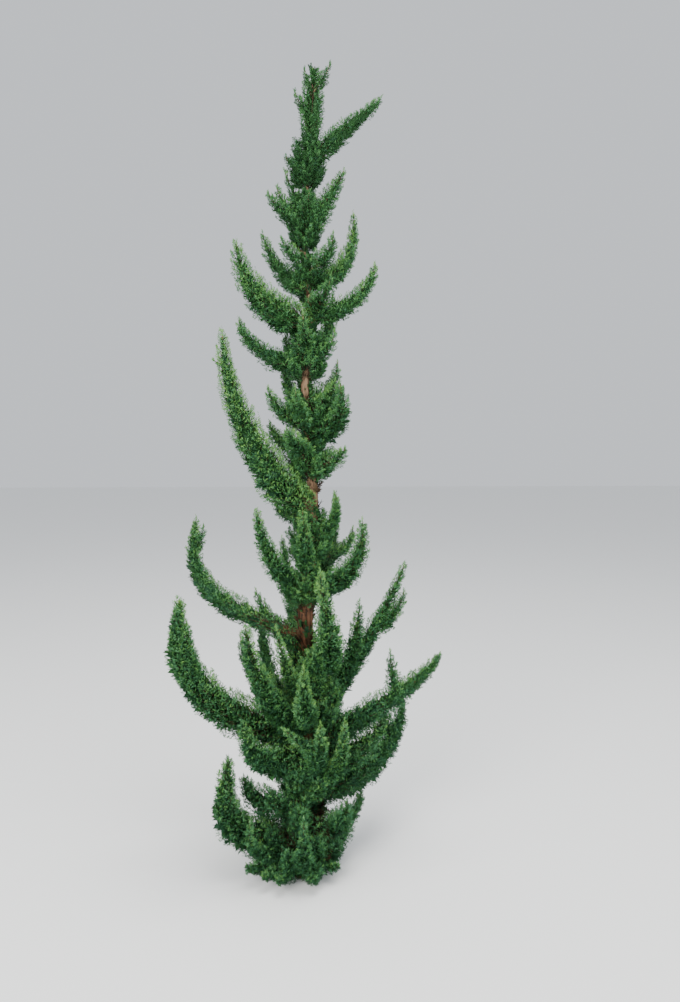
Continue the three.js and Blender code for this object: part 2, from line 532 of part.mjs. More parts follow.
function meshOf(solid, name, look) {
  const data = solid.getMesh();
  const geometry = new THREE.BufferGeometry();
  geometry.setAttribute("position", new THREE.BufferAttribute(new Float32Array(data.vertProperties), 3));
  geometry.setIndex(new THREE.BufferAttribute(new Uint32Array(data.triVerts), 1));
  geometry.computeVertexNormals();
  const mesh = new THREE.Mesh(geometry, new THREE.MeshStandardMaterial({ ...look, flatShading: true }));
  mesh.name = name;
  return mesh;
}

const trunkRoom = trunkSolid(GAP);
const boughs = Object.entries(BARE).map(([name, bare]) => ({
  name: `bough_${name}`,
  solid: boughSolid(ARMS[name], bare, 0).subtract(trunkRoom),
  room: boughSolid(ARMS[name], bare, GAP),
}));
const wood = [trunkRoom, ...boughs.map((bough) => bough.room)];

const masses = [
  ...Object.keys(ARMS).flatMap((name, k) => armMasses(name, ARM_SEEDS + SEED_STEP * k)),
  ...Object.keys(COLLARS).map((name, k) => collarMass(name, COLLAR_SEEDS + SEED_STEP * k)),
];

// Every core is cut clear of the wood and of the cores before it
masses.forEach((mass, k) => {
  const earlier = masses.slice(0, k).map((other) => other.room);
  mass.core = largestPiece(cutClear(mass.core, [...wood, ...earlier]));
});

// Every mass is leafed out in turn, clear of the masses that are done and the cores that wait
masses.forEach((mass, k) => {
  const done = masses.slice(0, k).map((other) => other.solid);
  const waiting = masses.slice(k + 1).map((other) => other.core);
  mass.solid = leafOut(mass.core, mass.sprays, [...wood, ...done, ...waiting]);
});

const tree = new THREE.Group();
tree.add(meshOf(trunkSolid(0), "trunk", BARK));
boughs.forEach((bough) => tree.add(meshOf(bough.solid, bough.name, BOUGH_BARK)));
masses.forEach((mass) => tree.add(meshOf(mass.solid, mass.name, GREEN)));

export default tree;
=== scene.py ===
"""Dresses a young lawson cypress, 3 m tall: ridged bark on its trunk and boughs, and fine flat
sprays of scale leaves on twigs that grow from its limbs. Lengths in the tables are millimetres."""

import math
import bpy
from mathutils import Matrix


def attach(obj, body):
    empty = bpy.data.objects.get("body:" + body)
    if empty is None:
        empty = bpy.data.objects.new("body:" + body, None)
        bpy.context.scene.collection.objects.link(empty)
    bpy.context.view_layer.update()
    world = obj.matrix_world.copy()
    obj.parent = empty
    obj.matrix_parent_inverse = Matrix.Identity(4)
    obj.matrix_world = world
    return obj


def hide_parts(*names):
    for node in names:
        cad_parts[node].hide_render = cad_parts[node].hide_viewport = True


bl_info = {
    "name": "Lawson Cypress",
    "version": (1, 0, 0),
    "blender": (4, 5, 0),
    "location": "View3D > Sidebar > Cypress",
    "description": "Bark, twigs, sprays and studio for a young lawson cypress",
    "category": "Add Mesh",
}

from collections import namedtuple

import bpy
import numpy as np
from bpy.props import FloatProperty, FloatVectorProperty, IntProperty, PointerProperty
from mathutils import Vector

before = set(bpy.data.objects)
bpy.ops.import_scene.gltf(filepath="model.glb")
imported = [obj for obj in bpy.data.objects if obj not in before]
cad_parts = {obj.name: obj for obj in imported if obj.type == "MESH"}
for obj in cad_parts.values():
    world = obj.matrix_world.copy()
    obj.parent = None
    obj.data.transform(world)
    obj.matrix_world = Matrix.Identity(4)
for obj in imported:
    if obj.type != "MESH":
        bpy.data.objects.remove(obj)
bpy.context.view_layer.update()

MM = 0.001
UP = np.array([0.0, 0.0, 1.0])

# Trunk: height, radii, root flare, depth of its ridges, and the heights and offsets of its sway
TRUNK_HEIGHT = 2975.0
TRUNK_BASE_RADIUS = 44.0
TRUNK_TIP_RADIUS = 2.5
TRUNK_TAPER = 1.3
FLARE_RADIUS = 20.0
FLARE_HEIGHT = 70.0
FLARE_LOBES = 5
FLARE_LOBE_DEPTH = 0.14
RIDGE_DEPTH = 3.2
SWAY_HEIGHTS = np.array([0, 440, 950, 1420, 1840, 2080, 2370, TRUNK_HEIGHT])
SWAY_OFFSETS = np.array([0, 36, 20, 48, 22, 42, 22, 54], float)
DEPTH_SWAY = 12.0
DEPTH_SWAY_LENGTH = 1300.0

# Boughs and hidden limbs: radius at the root beside the foliage, what is left of a bough where
# its leaves start, how the radius falls from there, its least, and depth of the ridges
BOUGH_ROOT_SHARE = 0.3
HIDDEN_LIMB_SHARE = 0.11
BOUGH_TIP_SHARE = 0.75
LIMB_TAPER = 2.2
LEAST_RADIUS = 1.2
LIMB_RIDGES = 0.22

# Outline of the foliage on an arm
ROOT_SHARE = 0.6
SHOULDER_AT = 0.24
TIP_SHARE = 0.12
TIP_TAPER = 0.7
LEAF_START = 45.0
LEAF_START_IN_COLLAR = 0.95
LATEST_LEAF_START = 0.5

# Outline of a collar
COLLAR_ROUND = (0.12, 0.92)
COLLAR_ROUND_POWER = 0.6

# Twigs on a limb: turn from one to the next and how far they stray from it, how far back from
# its end a twig has its root, as a share of the outline there and as a length that grows to the
# limb's tip, how far its end is lifted, lumps along and round the limb and chance's share in
# them, and a twig's own radius beside its length, its limits, its taper and its end in the tuft
GOLDEN_ANGLE = 137.5
STRAY = 20.0
SWEEP = 1.0
TIP_SWEEP = 22.0
TWIG_LIFT = 0.22
LUMP_SIZE = 60
LUMPS_ROUND = 4
LUMP_CHANCE = 0.4
TWIG_RADIUS = 0.022
TWIG_RADII = (0.7, 2.2)
TWIG_TAPER = 0.4
TWIG_BARED = 0.6

# Foliage on an arm and on a collar's shoot starts at these shares of where their solids start,
# and on a fork and a small shoot at these shares of their length. A limb as long as LONG_LIMB
# has light tips, and no leaf hangs below LOWEST_LEAF.
ROOT_COVER = 0.12
COLLAR_COVER = 0.7
FORK_START = 0.15
SHOOT_START = 0.35
LONG_LIMB = 300.0
LOWEST_LEAF = 3.0

# Sprays of a tuft: its length beside the outline and half its width beside its length, how the
# sprays crowd to its tip, how far under its surface they have their roots, beside their length,
# how far they stand round it, fan and tilt, in radians, lean out and lift
TUFT_SHARE = 0.9
TUFT_WIDTH = 0.36
CROWDING = 0.8
SPRAY_DEPTH = 0.6
TUFT_ROUND = 2.3
FAN = 1.05
TILT = 0.45
LEAN = (0.1, 0.8)
LIFT = 0.26

# Brightness that its place adds to a spray: painted light low down and at mid height, young
# growth towards a tuft's tip, painted light on a tuft's top side and a limb's upper side, young
# growth at a long limb's tip, painted light on tufts that stand proud and painted shade on sunk
# ones, painted light on forks and shoots; and the spread by limb, tuft and spray
MIDDLE_LIGHT = 0.11
LOW_LIGHT = 0.2
TUFT_TIP_LIGHT = 0.18
TUFT_TOP_LIGHT = 0.14
LIMB_TOP_LIGHT = 0.27
LIMB_TIP_LIGHT = 0.3
PROUD_LIGHT = 0.7
PROUD_FROM = 0.8
FORK_LIGHT = 0.03
SHOOT_LIGHT = 0.05
LIMB_TONE = 0.05
TUFT_TONE = 0.07
SPRAY_TONE = 0.05

# Broad sprays of the filling: outline for each, in square millimetres, share where they end,
# stray in degrees, how far they head outwards, length beside the outline, its limits, and tone,
# dark as painted shade
FILLING_ROOM = 330
FILLING_END = 0.95
FILLING_STRAY = 90
FILLING_OUT = (0.25, 1.3)
FILLING_REACH = (0.55, 0.75)
FILLING_LENGTH = (8, 110)
FILLING_SHADE = (0.03, 0.12)

# Broad sprays on the trunk between collars: way up for each, how deep they start, how far they
# head outwards, length beside the radius and over it, and shares that are bluish and brown
WISP_STEP = 2.2
WISP_ROOT = 0.85
WISP_OUT = (0.2, 1.0)
WISP_REACH = (0.8, 1.6)
WISP_LEAST = 10
WISP_BLUE = 0.5
WISP_BROWN = (0.9, 0.1)

# Sprays at a limb's tip: how many, from where, how far they head outwards, length beside the
# longest, brightness and its spread, and what a long limb adds to it
TIP_SPRAYS = 7
TIP_FROM = 0.9
TIP_OUT = (0.1, 0.4)
TIP_REACH = (0.8, 1.2)
TIP_TONE = (0.35, 0.1)
TIP_LIGHT = 0.4

# Collars wider than PLUMED_FROM have small shoots: size beside the collar's, way apart beside
# their size, stray in degrees, curve out and up, how they narrow and lean, the outline and shade
# of what is behind them, and the share of the outline inside which no fine spray grows
PLUMED_FROM = 60
SHOOT_SHARE = 0.34
SHOOT_SPACING = 2.0
SHOOT_STRAY = 30
SHOOT_BEND = 1.7
SHOOT_LIFT = 1.25
BLUNT_TAPER = 0.4
BLUNT_SWEEP = 0.6
INNER_SHARE = 0.7
INNER_SHADE = 0.22
SEEN_FROM = 0.52

Arm = namedtuple("Arm", "at turn out up bend lift curl thick on share", defaults=(None, 0.0))
Limb = namedtuple("Limb", "at outline side length uneven sweep seed")

# Arms: height of the root, heading, reach, rise, how soon it stops going out, how late it rises,
# turn added by the tip, half the width of its foliage
ARMS = {
    "right_1": Arm(2636, 345, 264, 246, 1.3, 0.86, 13, 54),
    "right_2": Arm(2215, 18, 228, 308, 1.8, 1.7, 22, 54),
    "right_3": Arm(2086, 350, 235, 204, 1.9, 1.4, 6, 56),
    "right_4": Arm(1660, 350, 170, 192, 2.0, 1.8, -40, 72),
    "right_5": Arm(1083, 352, 236, 285, 1.9, 1.7, -25, 70),
    "right_6": Arm(588, 8, 366, 607, 1.2, 1.2, -8, 64),
    "right_7": Arm(478, 346, 497, 364, 1.4, 0.95, 12, 72),
    "right_8": Arm(276, 24, 484, 292, 1.7, 1.7, 10, 90),
    "left_1": Arm(2066, 188, 269, 289, 1.7, 1.7, 4, 92),
    "left_2": Arm(2190, 150, 198, 239, 1.4, 1.5, 0, 56),
    "left_3": Arm(1910, 170, 252, 189, 1.8, 1.4, 0, 58),
    "left_4": Arm(1400, 194, 328, 650, 1.8, 1.4, -5, 94),
    "left_5": Arm(1030, 200, 213, 375, 1.6, 1.0, 16, 62),
    "left_6": Arm(918, 168, 484, 426, 3.2, 1.15, -15, 62),
    "left_7": Arm(845, 158, 205, 230, 1.5, 1.2, 0, 56),
    "left_8": Arm(565, 212, 396, 474, 1.1, 1.6, 25, 78),
    "left_9": Arm(490, 198, 524, 630, 2.95, 1.02, 15, 94),
    "left_10": Arm(448, 224, 290, 201, 2.2, 2.5, -10, 96),
    "left_11": Arm(104, 192, 309, 414, 3.9, 1.4, 20, 92),
    "front_1": Arm(2115, 305, 110, 110, 1.7, 1.4, 5, 64),
    "front_2": Arm(800, 310, 213, 401, 2.6, 1.76, -28, 78),
    "back_1": Arm(2440, 75, 130, 170, 1.8, 1.4, 0, 38),
    "back_2": Arm(2150, 98, 170, 240, 2.0, 1.4, 0, 46),
    "back_3": Arm(1960, 60, 200, 260, 2.0, 1.4, 0, 50),
    "back_4": Arm(1760, 118, 180, 220, 2.0, 1.4, 0, 48),
    "back_5": Arm(1560, 78, 230, 330, 2.0, 1.4, 10, 56),
    "back_6": Arm(1290, 108, 280, 400, 2.0, 1.3, -10, 60),
    "back_7": Arm(1060, 62, 260, 380, 2.0, 1.3, 0, 58),
    "back_8": Arm(780, 96, 360, 470, 2.0, 1.2, 10, 64),
    "back_9": Arm(480, 128, 400, 440, 1.9, 1.2, -10, 70),
    "back_10": Arm(300, 70, 420, 460, 1.9, 1.3, 0, 72),
}

# Share of an arm that is a bare bough
BARE = {
    "right_6": 0.2, "right_7": 0.2, "right_8": 0.22,
    "left_4": 0.13, "left_6": 0.15, "left_8": 0.2, "left_9": 0.16, "left_11": 0.2,
}
PARTED = ("right_6", "right_7", "left_1", "left_4", "left_6", "left_9")

# Side shoots that fork from an arm
FORKS = [
    Arm(0, 330, 60, 296, 1.6, 1.2, 0, 60, "right_6", 0.33),
    Arm(0, 350, 118, 165, 1.6, 1.2, 0, 52, "right_6", 0.6),
    Arm(0, 130, 40, 165, 1.6, 1.2, 0, 46, "right_7", 0.55),
    Arm(0, 285, 30, 25, 1.6, 1.2, 0, 56, "right_7", 0.66),
    Arm(0, 200, 40, 150, 1.6, 1.2, 0, 62, "right_8", 0.66),
    Arm(0, 190, 40, 12, 1.4, 1.4, 0, 32, "left_4", 0.85),
    Arm(0, 20, 40, 100, 1.6, 1.2, 0, 34, "left_6", 0.72),
    Arm(0, 180, 60, 160, 1.8, 1.2, 0, 38, "left_8", 0.66),
    Arm(0, 262, 70, 230, 2.0, 1.2, 0, 58, "left_9", 0.5),
    Arm(0, 190, 25, 150, 1.6, 1.2, 0, 60, "front_2", 0.5),
]

# Collars: lowest and highest level, radius of the foliage, and the shoots that they carry
COLLARS = {
    "leader": (2720, 2980, 46, [
        Arm(2826, 170, 62, 82, 1.6, 1.2, 0, 34), Arm(2898, 350, 62, 100, 1.4, 1.0, 0, 34),
        Arm(2880, 190, 30, 98, 1.2, 1.0, 0, 26),
    ]),
    "collar_1": (2560, 2750, 76, [
        Arm(2590, 200, 80, 70, 1.6, 1.2, 0, 42), Arm(2600, 80, 90, 100, 1.8, 1.3, 0, 40),
    ]),
    "collar_2": (2335, 2545, 68, [
        Arm(2475, 155, 85, 160, 1.0, 1.4, 0, 42), Arm(2410, 195, 135, 115, 1.4, 1.1, 0, 54),
        Arm(2385, 20, 150, 255, 1.2, 1.0, -5, 60), Arm(2380, 280, 90, 135, 0.9, 0.8, 0, 56),
        Arm(2440, 178, 100, 120, 1.6, 1.2, 0, 44), Arm(2430, 8, 84, 110, 1.6, 1.2, 0, 38),
    ]),
    "collar_3": (2215, 2325, 70, [
        Arm(2260, 325, 115, 118, 2.1, 1.5, 0, 58), Arm(2245, 205, 100, 120, 1.6, 0.8, 0, 50),
    ]),
    "collar_4": (1865, 2055, 90, [
        Arm(1945, 262, 120, 150, 1.2, 1.4, 0, 54), Arm(1920, 125, 140, 140, 1.8, 1.4, 0, 50),
        Arm(1930, 335, 110, 110, 1.8, 1.4, 0, 44),
    ]),
    "collar_5": (1685, 1835, 108, [
        Arm(1745, 320, 135, 115, 1.9, 1.1, 0, 56), Arm(1700, 192, 145, 140, 1.8, 1.3, 0, 54),
        Arm(1720, 250, 120, 115, 2.1, 1.5, 0, 52), Arm(1800, 15, 125, 145, 2.2, 1.7, 0, 48),
        Arm(1695, 5, 125, 160, 2.2, 1.2, 0, 60),
    ]),
    "collar_6": (1505, 1650, 102, [
        Arm(1540, 240, 175, 145, 1.5, 0.8, 0, 64), Arm(1530, 330, 140, 85, 1.9, 0.8, 0, 62),
        Arm(1600, 140, 200, 120, 1.8, 1.5, 0, 56),
    ]),
    "collar_7": (1190, 1390, 88, [
        Arm(1340, 140, 180, 70, 2.0, 1.6, 0, 48), Arm(1230, 345, 135, 225, 2.1, 0.8, -35, 42),
        Arm(1200, 35, 210, 110, 2.2, 2.0, 0, 44),
    ]),
    "collar_8": (1040, 1175, 90, [
        Arm(1115, 262, 130, 290, 1.0, 1.2, 0, 62),
    ]),
    "collar_9": (560, 870, 132, [
        Arm(700, 236, 200, 295, 1.2, 2.0, 0, 50), Arm(600, 265, 230, 260, 2.4, 1.4, 0, 62),
    ]),
    "collar_10": (270, 550, 120, [
        Arm(330, 318, 235, 300, 1.2, 1.0, -72, 60), Arm(365, 312, 190, 270, 3.0, 1.5, 0, 52),
        Arm(420, 280, 200, 220, 2.4, 1.4, 0, 60), Arm(400, 5, 290, 190, 1.8, 1.6, 0, 88),
    ]),
    "collar_11": (8, 260, 196, [
        Arm(215, 197, 240, 185, 1.8, 1.4, 0, 90), Arm(70, 272, 230, 240, 2.7, 1.8, 0, 56),
        Arm(70, 212, 290, 235, 1.9, 1.7, 20, 44), Arm(150, 318, 215, 180, 2.2, 1.6, 0, 84),
        Arm(90, 100, 290, 220, 2.2, 1.6, 0, 58), Arm(100, 20, 250, 170, 2.2, 1.6, 0, 56),
        Arm(40, 248, 215, 30, 2.0, 1.3, 0, 46), Arm(40, 285, 205, 30, 2.0, 1.3, 0, 46),
        Arm(46, 216, 245, 50, 2.0, 1.3, 0, 50), Arm(225, 222, 175, 135, 1.8, 1.3, 0, 84),
        Arm(44, 316, 190, 34, 2.0, 1.3, 0, 46), Arm(42, 232, 222, 32, 2.0, 1.3, 0, 46),
        Arm(200, 262, 165, 110, 1.8, 1.3, 0, 84),
    ]),
}

# Pieces of foliage, each with the arms and then the collars that it covers
REGIONS = {
    "foliage_top": (
        "right_1", "right_2", "left_2", "front_1", "back_1", "back_2",
        "leader", "collar_1", "collar_2", "collar_3",
    ),
    "foliage_shoulder": ("right_3", "left_1", "left_3", "collar_4"),
    "foliage_middle": ("right_4", "collar_5", "collar_6"),
    "foliage_waist": ("right_5", "left_7", "front_2", "collar_7", "collar_8"),
    "foliage_left_upper": ("left_4", "left_5", "left_6"),
    "foliage_left_lower": ("left_8", "left_9", "left_11"),
    "foliage_right": ("right_6", "right_7", "right_8"),
    "foliage_back_upper": ("back_3", "back_4", "back_5", "back_6", "back_7"),
    "foliage_back_lower": ("back_8", "back_9", "back_10"),
    "foliage_low": ("left_10", "collar_9"),
    "foliage_lower": ("collar_10",),
    "foliage_foot": ("collar_11",),
}

# Share added to the brightness of the arms with the most young growth and painted light, and
# taken from the shaded ones as painted shade
GROWTH_LIGHT_AND_SHADE = {
    "right_1": 0.04, "right_2": 0.1, "right_3": 0.1, "right_5": 0.05, "right_7": -0.04,
    "right_8": -0.16, "left_1": 0.14, "left_2": 0.08, "left_4": 0.34, "left_5": 0.06,
    "left_6": 0.04, "left_8": 0.1, "left_9": 0.04, "left_11": 0.05, "front_2": 0.14,
    "back_9": -0.04, "back_10": -0.04, "leader": -0.07, "collar_1": -0.14, "collar_2": -0.03,
    "collar_5": 0.08, "collar_6": 0.08, "collar_7": 0.06, "collar_8": 0.15, "collar_9": 0.15,
    "collar_10": 0.1, "collar_11": -0.17,
}

# Stretches of trunk with nothing in front of them: from, to and half width
BARE_FRONTS = ((1800, 1920, 16), (2830, 2930, 5))

# Tints in a row, from dark to light, dealt as painted light and shade as well as young growth
# and tone, and where the rows after the first start
LEVELS = 8
COLD_ROW = LEVELS
BROWN_ROW = 2 * LEVELS

# Sprays: where their leaflets stand, their rake in degrees from root to tip, their step in tint,
# darker at the root as painted shade and lighter at the tip for young growth, their lift, and
# place, reach and width of the one in the middle
LEAFLETS_AT = (0.03, 0.74)
RAKE = (54, 28)
LEAFLET_STEPS = (-1.4, 1.0)
LEAFLET_LIFT = 0.07
MIDDLE_LEAFLET = (0.25, 0.75, 0.9)

# Kinds of spray: leaflets, bend along it, half width of a leaflet, how far it reaches
FINE_SPRAYS = ((5, 0.2, 0.09, 0.48), (5, -0.12, 0.09, 0.5), (4, 0.35, 0.1, 0.5))
BROAD_SPRAYS = ((7, 0.15, 0.13, 0.5), (6, -0.15, 0.15, 0.5))

# Sides of the floor and of a lamp, in metres, and the camera: its focal length and the photo's
# height in pixels, its sensor in millimetres, and degrees that it looks down and to the right
FLOOR_SIZE = 60.0
LAMP_SIZE = 4.0
FOCAL_PIXELS = 750
PHOTO_HEIGHT = 1002
SENSOR = 36
CAMERA_DOWN = 3.89
CAMERA_RIGHT = 3.086

# Seeds: how many an arm and a collar have, and those of a collar's core and small shoots
SEED = 4127
ARM_SEEDS = 10
COLLAR_SEEDS = 200
FIRST_COLLAR_SEED = 1000
CORE_SEED = 19
SHOOT_SEED = 20


def unit(v):
    """Vectors divided by their lengths."""
    return v / np.maximum(np.linalg.norm(v, axis=-1, keepdims=True), 1e-9)


def lerp(a, b, share):
    return a + (b - a) * share


def trunk_at(height):
    """Middle of the trunk: it sways from one offset to the next on half cosine waves, and
    slowly in depth on a sine."""
    z = np.clip(np.asarray(height, float), 0, TRUNK_HEIGHT)
    k = np.clip(np.searchsorted(SWAY_HEIGHTS, z, side="right") - 1, 0, len(SWAY_HEIGHTS) - 2)
    share = (z - SWAY_HEIGHTS[k]) / (SWAY_HEIGHTS[k + 1] - SWAY_HEIGHTS[k])
    swing = (1 - np.cos(np.pi * share)) / 2
    x = lerp(SWAY_OFFSETS[k], SWAY_OFFSETS[k + 1], swing)
    y = DEPTH_SWAY * np.sin(2 * np.pi * z / DEPTH_SWAY_LENGTH)
    return np.stack([x, y, np.asarray(height, float)], -1)


def trunk_radius(height):
    """Radius of the trunk: a power of the height that is left, and a flare that fades upwards."""
    left = np.clip(1 - height / TRUNK_HEIGHT, 0, 1)
    shaft = TRUNK_TIP_RADIUS + (TRUNK_BASE_RADIUS - TRUNK_TIP_RADIUS) * left**TRUNK_TAPER
    return shaft + FLARE_RADIUS * np.exp(-height / FLARE_HEIGHT)


def arm_at(arm, t):
    """Middle line of an arm at shares t: out on a slowing curve, up on a rising one, turned by
    its curl."""
    t = np.asarray(t, float)
    root = arm_at(ARMS[arm.on], arm.share) if arm.on else trunk_at(arm.at)
    heading = np.radians(arm.turn + arm.curl * t)
    out = arm.out * (1 - (1 - t) ** arm.bend)
    rise = arm.up * t**arm.lift
    return root + np.stack([out * np.cos(heading), out * np.sin(heading), rise], -1)


def arm_side(arm):
    """The level direction square to an arm's mean heading."""
    heading = math.radians(arm.turn + arm.curl / 2)
    return np.array([-math.sin(heading), math.cos(heading), 0.0])


def arm_length(arm):
    return np.linalg.norm(np.diff(arm_at(arm, np.linspace(0, 1, 41)), axis=0), axis=1).sum()


def arm_outline(arm, t, taper=TIP_TAPER):
    """Half the width of an arm's foliage: narrow root, full shoulder, drawn out to the tip."""
    shoulder = np.minimum(1, ROOT_SHARE + (1 - ROOT_SHARE) * t / SHOULDER_AT)
    return arm.thick * shoulder * (TIP_SHARE + (1 - TIP_SHARE) * (1 - t) ** taper)


def leaf_start(arm, bare=0):
    """Share at which an arm's leaves start: past its bare bough, or clear of its collar."""
    if bare:
        return bare
    hugged = [c[2] for c in COLLARS.values() if c[0] < arm.at < c[1]]
    distance = hugged[0] * LEAF_START_IN_COLLAR if hugged else LEAF_START
    return min(LATEST_LEAF_START, distance / arm_length(arm))


def collar_outline(low, high, thick, z):
    """Radius of a collar's foliage: full in the middle and drawn in at both ends."""
    share = np.clip((z - low) / (high - low), 0, 1)
    swing = np.sin(np.pi * lerp(*COLLAR_ROUND, share))
    return lerp(trunk_radius(z), thick, swing**COLLAR_ROUND_POWER)


def lattice_noise(u, v, cells_u, cells_v, rng):
    """Smooth noise from 0 to 1 over u and v in 0 to 1, from a random lattice that closes in u."""
    lattice = rng.random((cells_v + 2, cells_u))
    x = np.mod(u, 1) * cells_u
    y = np.clip(v, 0, 1) * cells_v
    i, j = np.floor(x).astype(int) % cells_u, np.floor(y).astype(int)
    fx, fy = x - np.floor(x), y - np.floor(y)
    fx, fy = fx * fx * (3 - 2 * fx), fy * fy * (3 - 2 * fy)
    right = (i + 1) % cells_u
    low, high = (lerp(lattice[row, i], lattice[row, right], fx) for row in (j, j + 1))
    return lerp(low, high, fy)


def tube_faces(rings, sides):
    """Quads between rings of points, with a pole after the last ring closing each end."""
    ring = np.arange(rings - 1)[:, None] * sides
    k = np.arange(sides)
    after = (k + 1) % sides
    quads = np.stack([ring + k, ring + after, ring + sides + after, ring + sides + k], -1)
    foot, top = rings * sides, (rings - 1) * sides
    low = np.stack([np.full(sides, foot), after, k], -1)
    high = np.stack([np.full(sides, foot + 1), top + k, top + after], -1)
    return quads.reshape(-1, 4), np.concatenate([low, high])


def tubes(paths, side, radii):
    """Many limbs at once. paths is (limbs, rings, 3), side a level direction for each limb, and
    radii (limbs, rings, sides): each ring is square to its path. Returns points and faces."""
    count, rings, sides = radii.shape
    along = unit(np.gradient(paths, axis=1))
    across = unit(np.cross(along, side[:, None, :]))
    level = unit(np.cross(across, along))
    angle = 2 * np.pi * np.arange(sides) / sides
    spokes = level[:, :, None] * np.cos(angle)[:, None] - across[:, :, None] * np.sin(angle)[:, None]
    ring_points = paths[:, :, None] + spokes * radii[..., None]
    poles = paths[:, [0, -1]]
    points = np.concatenate([ring_points.reshape(count, -1, 3), poles], axis=1)
    quads, triangles = tube_faces(rings, sides)
    offset = (np.arange(count) * (rings * sides + 2))[:, None, None]
    quads, triangles = (quads + offset).reshape(-1, 4), (triangles + offset).reshape(-1, 3)
    return points.reshape(-1, 3), quads, triangles


def new_piece(name, points, faces, materials, tint=None, smooth=False):
    """Puts points, in millimetres, and lists of quads or triangles into a new mesh object."""
    mesh = bpy.data.meshes.new(name)
    corners = np.concatenate([f.ravel() for f in faces])
    sizes = np.concatenate([np.full(len(f), f.shape[1]) for f in faces])
    mesh.vertices.add(len(points))
    mesh.vertices.foreach_set("co", (points * MM).astype(np.float32).ravel())
    mesh.loops.add(len(corners))
    mesh.loops.foreach_set("vertex_index", corners.astype(np.int32))
    mesh.polygons.add(len(sizes))
    mesh.polygons.foreach_set("loop_start", (np.cumsum(sizes) - sizes).astype(np.int32))
    mesh.polygons.foreach_set("use_smooth", np.full(len(sizes), smooth))
    for material in materials:
        mesh.materials.append(material)
    if tint is not None:
        mesh.polygons.foreach_set("material_index", tint.astype(np.int32))
    mesh.update(calc_edges=True)
    if mesh.validate():
        raise RuntimeError(f"{name} had faulty faces")
    piece = bpy.data.objects.new(name, mesh)
    bpy.context.scene.collection.objects.link(piece)
    return piece


def picked(sprays, keep):
    """Some of the sprays."""
    return {key: value[keep] for key, value in sprays.items()}


def spray_template(leaflets, curve, wide, reach):
    """A flat spray one unit long along x: slim three-cornered leaflets, left and right of it in
    turn, raked forward and longest below its middle, and one along it. z is curve times x
    squared, and leaflets tip up and down in turn. Also gives each leaflet's step in tint: darker
    at the spray's root as painted shade, lighter at its tip for young growth."""
    k = np.arange(leaflets)
    sign = np.where(k % 2 == 0, 1.0, -1.0)
    x = lerp(*LEAFLETS_AT, k / (leaflets - 1))
    angle = sign * np.radians(lerp(*RAKE, x))
    reach = reach * (1 - 0.5 * x) * (0.7 + 0.3 * np.sin(np.pi * np.minimum(1, x / 0.5)))
    step = np.append(np.round(lerp(*LEAFLET_STEPS, x)), 0)
    place, out, width = MIDDLE_LEAFLET
    x, angle, reach = np.append(x, place), np.append(angle, 0), np.append(reach, out)
    half = wide * np.append(np.ones(leaflets), width)
    lift = LEAFLET_LIFT * np.append(sign, 0)
    flat = np.zeros_like(x)
    root = np.stack([x, flat, flat], -1)
    across = np.stack([-np.sin(angle), np.cos(angle), flat], -1) * half[:, None]
    tip = root + np.stack([reach * np.cos(angle), reach * np.sin(angle), lift], -1)
    points = np.stack([root - across, root + across, tip], 1).reshape(-1, 3)
    points[:, 2] += curve * points[:, 0] ** 2
    return points, np.arange(len(points)).reshape(-1, 3), step.astype(int)


def sprays_mesh(sprays):
    """Points and triangles of many sprays. A spray's point is its root, plus its length times
    (x along its heading, y along its flat, z along the two's cross product)."""
    all_points, all_faces, all_tints, used = [], [], [], 0
    for k, kind in enumerate(FINE_SPRAYS + BROAD_SPRAYS):
        shape, faces, step = spray_template(*kind)
        alike = picked(sprays, sprays["kind"] == k)
        along, flat = alike["heading"][:, None], alike["flat"][:, None]
        offset = along * shape[:, :1] + flat * shape[:, 1:2] + np.cross(flat, along) * shape[:, 2:]
        points = alike["root"][:, None] + offset * alike["length"][:, None, None]
        keep = points[..., 2].min(axis=1) > LOWEST_LEAF
        row, level = np.divmod(alike["tint"][keep][:, None], LEVELS)
        first = used + (np.arange(keep.sum()) * len(shape))[:, None, None]
        all_points.append(points[keep].reshape(-1, 3))
        all_faces.append((faces + first).reshape(-1, 3))
        # Each leaflet's step: painted shade at a spray's root, young growth at its tip
        all_tints.append((row * LEVELS + np.clip(level + step, 0, LEVELS - 1)).ravel())
        used += len(all_points[-1])
    return np.concatenate(all_points), np.concatenate(all_faces), np.concatenate(all_tints)


def arm_limb(arm, seed, crown, taper=TIP_TAPER, sweep=SWEEP):
    """An arm as a limb that bears twigs: its middle line and outline over shares t."""
    return Limb(
        lambda t: arm_at(arm, t), lambda t: arm_outline(arm, t, taper) * crown.fullness,
        arm_side(arm), arm_length(arm), crown.bumps[0], sweep, seed,
    )


def collar_limb(low, high, thick, seed, crown):
    """The stretch of trunk inside a collar as such a limb."""
    return Limb(
        lambda t: trunk_at(lerp(low, high, t)),
        lambda t: collar_outline(low, high, thick, lerp(low, high, t)) * crown.fullness,
        np.array([0.0, 1.0, 0.0]), high - low, crown.bumps[1], SWEEP, seed,
    )


def limb_frame(limb, t, angle):
    """Direction of a limb at shares t, and outwards from it at angles round it."""
    step = 0.01
    along = unit(limb.at(np.minimum(t + step, 1)) - limb.at(np.maximum(t - step, 0)))
    across = unit(np.cross(limb.side, along))
    outward = limb.side * np.cos(angle)[:, None] + across * np.sin(angle)[:, None]
    return along, outward


def spread(limb, low, high, count, stray, rng):
    """Shares along a limb and angles round it of points that lie evenly over its outline: by
    equal areas from low to high, and by the golden angle, give or take."""
    fine = np.linspace(low, high, 200)
    area = np.cumsum(limb.outline(fine))
    t = np.interp((np.arange(count) + rng.random(count)) / count, area / area[-1], fine)
    turn = GOLDEN_ANGLE * np.arange(count) + stray * (rng.random(count) - 0.5)
    return t, np.radians(turn + 360 * rng.random())


def limb_area(limb, low, high):
    """Area of a limb's outline between two shares."""
    t = np.linspace(low, high, 25)
    return 2 * np.pi * limb.outline(t).mean() * limb.length * (high - low)


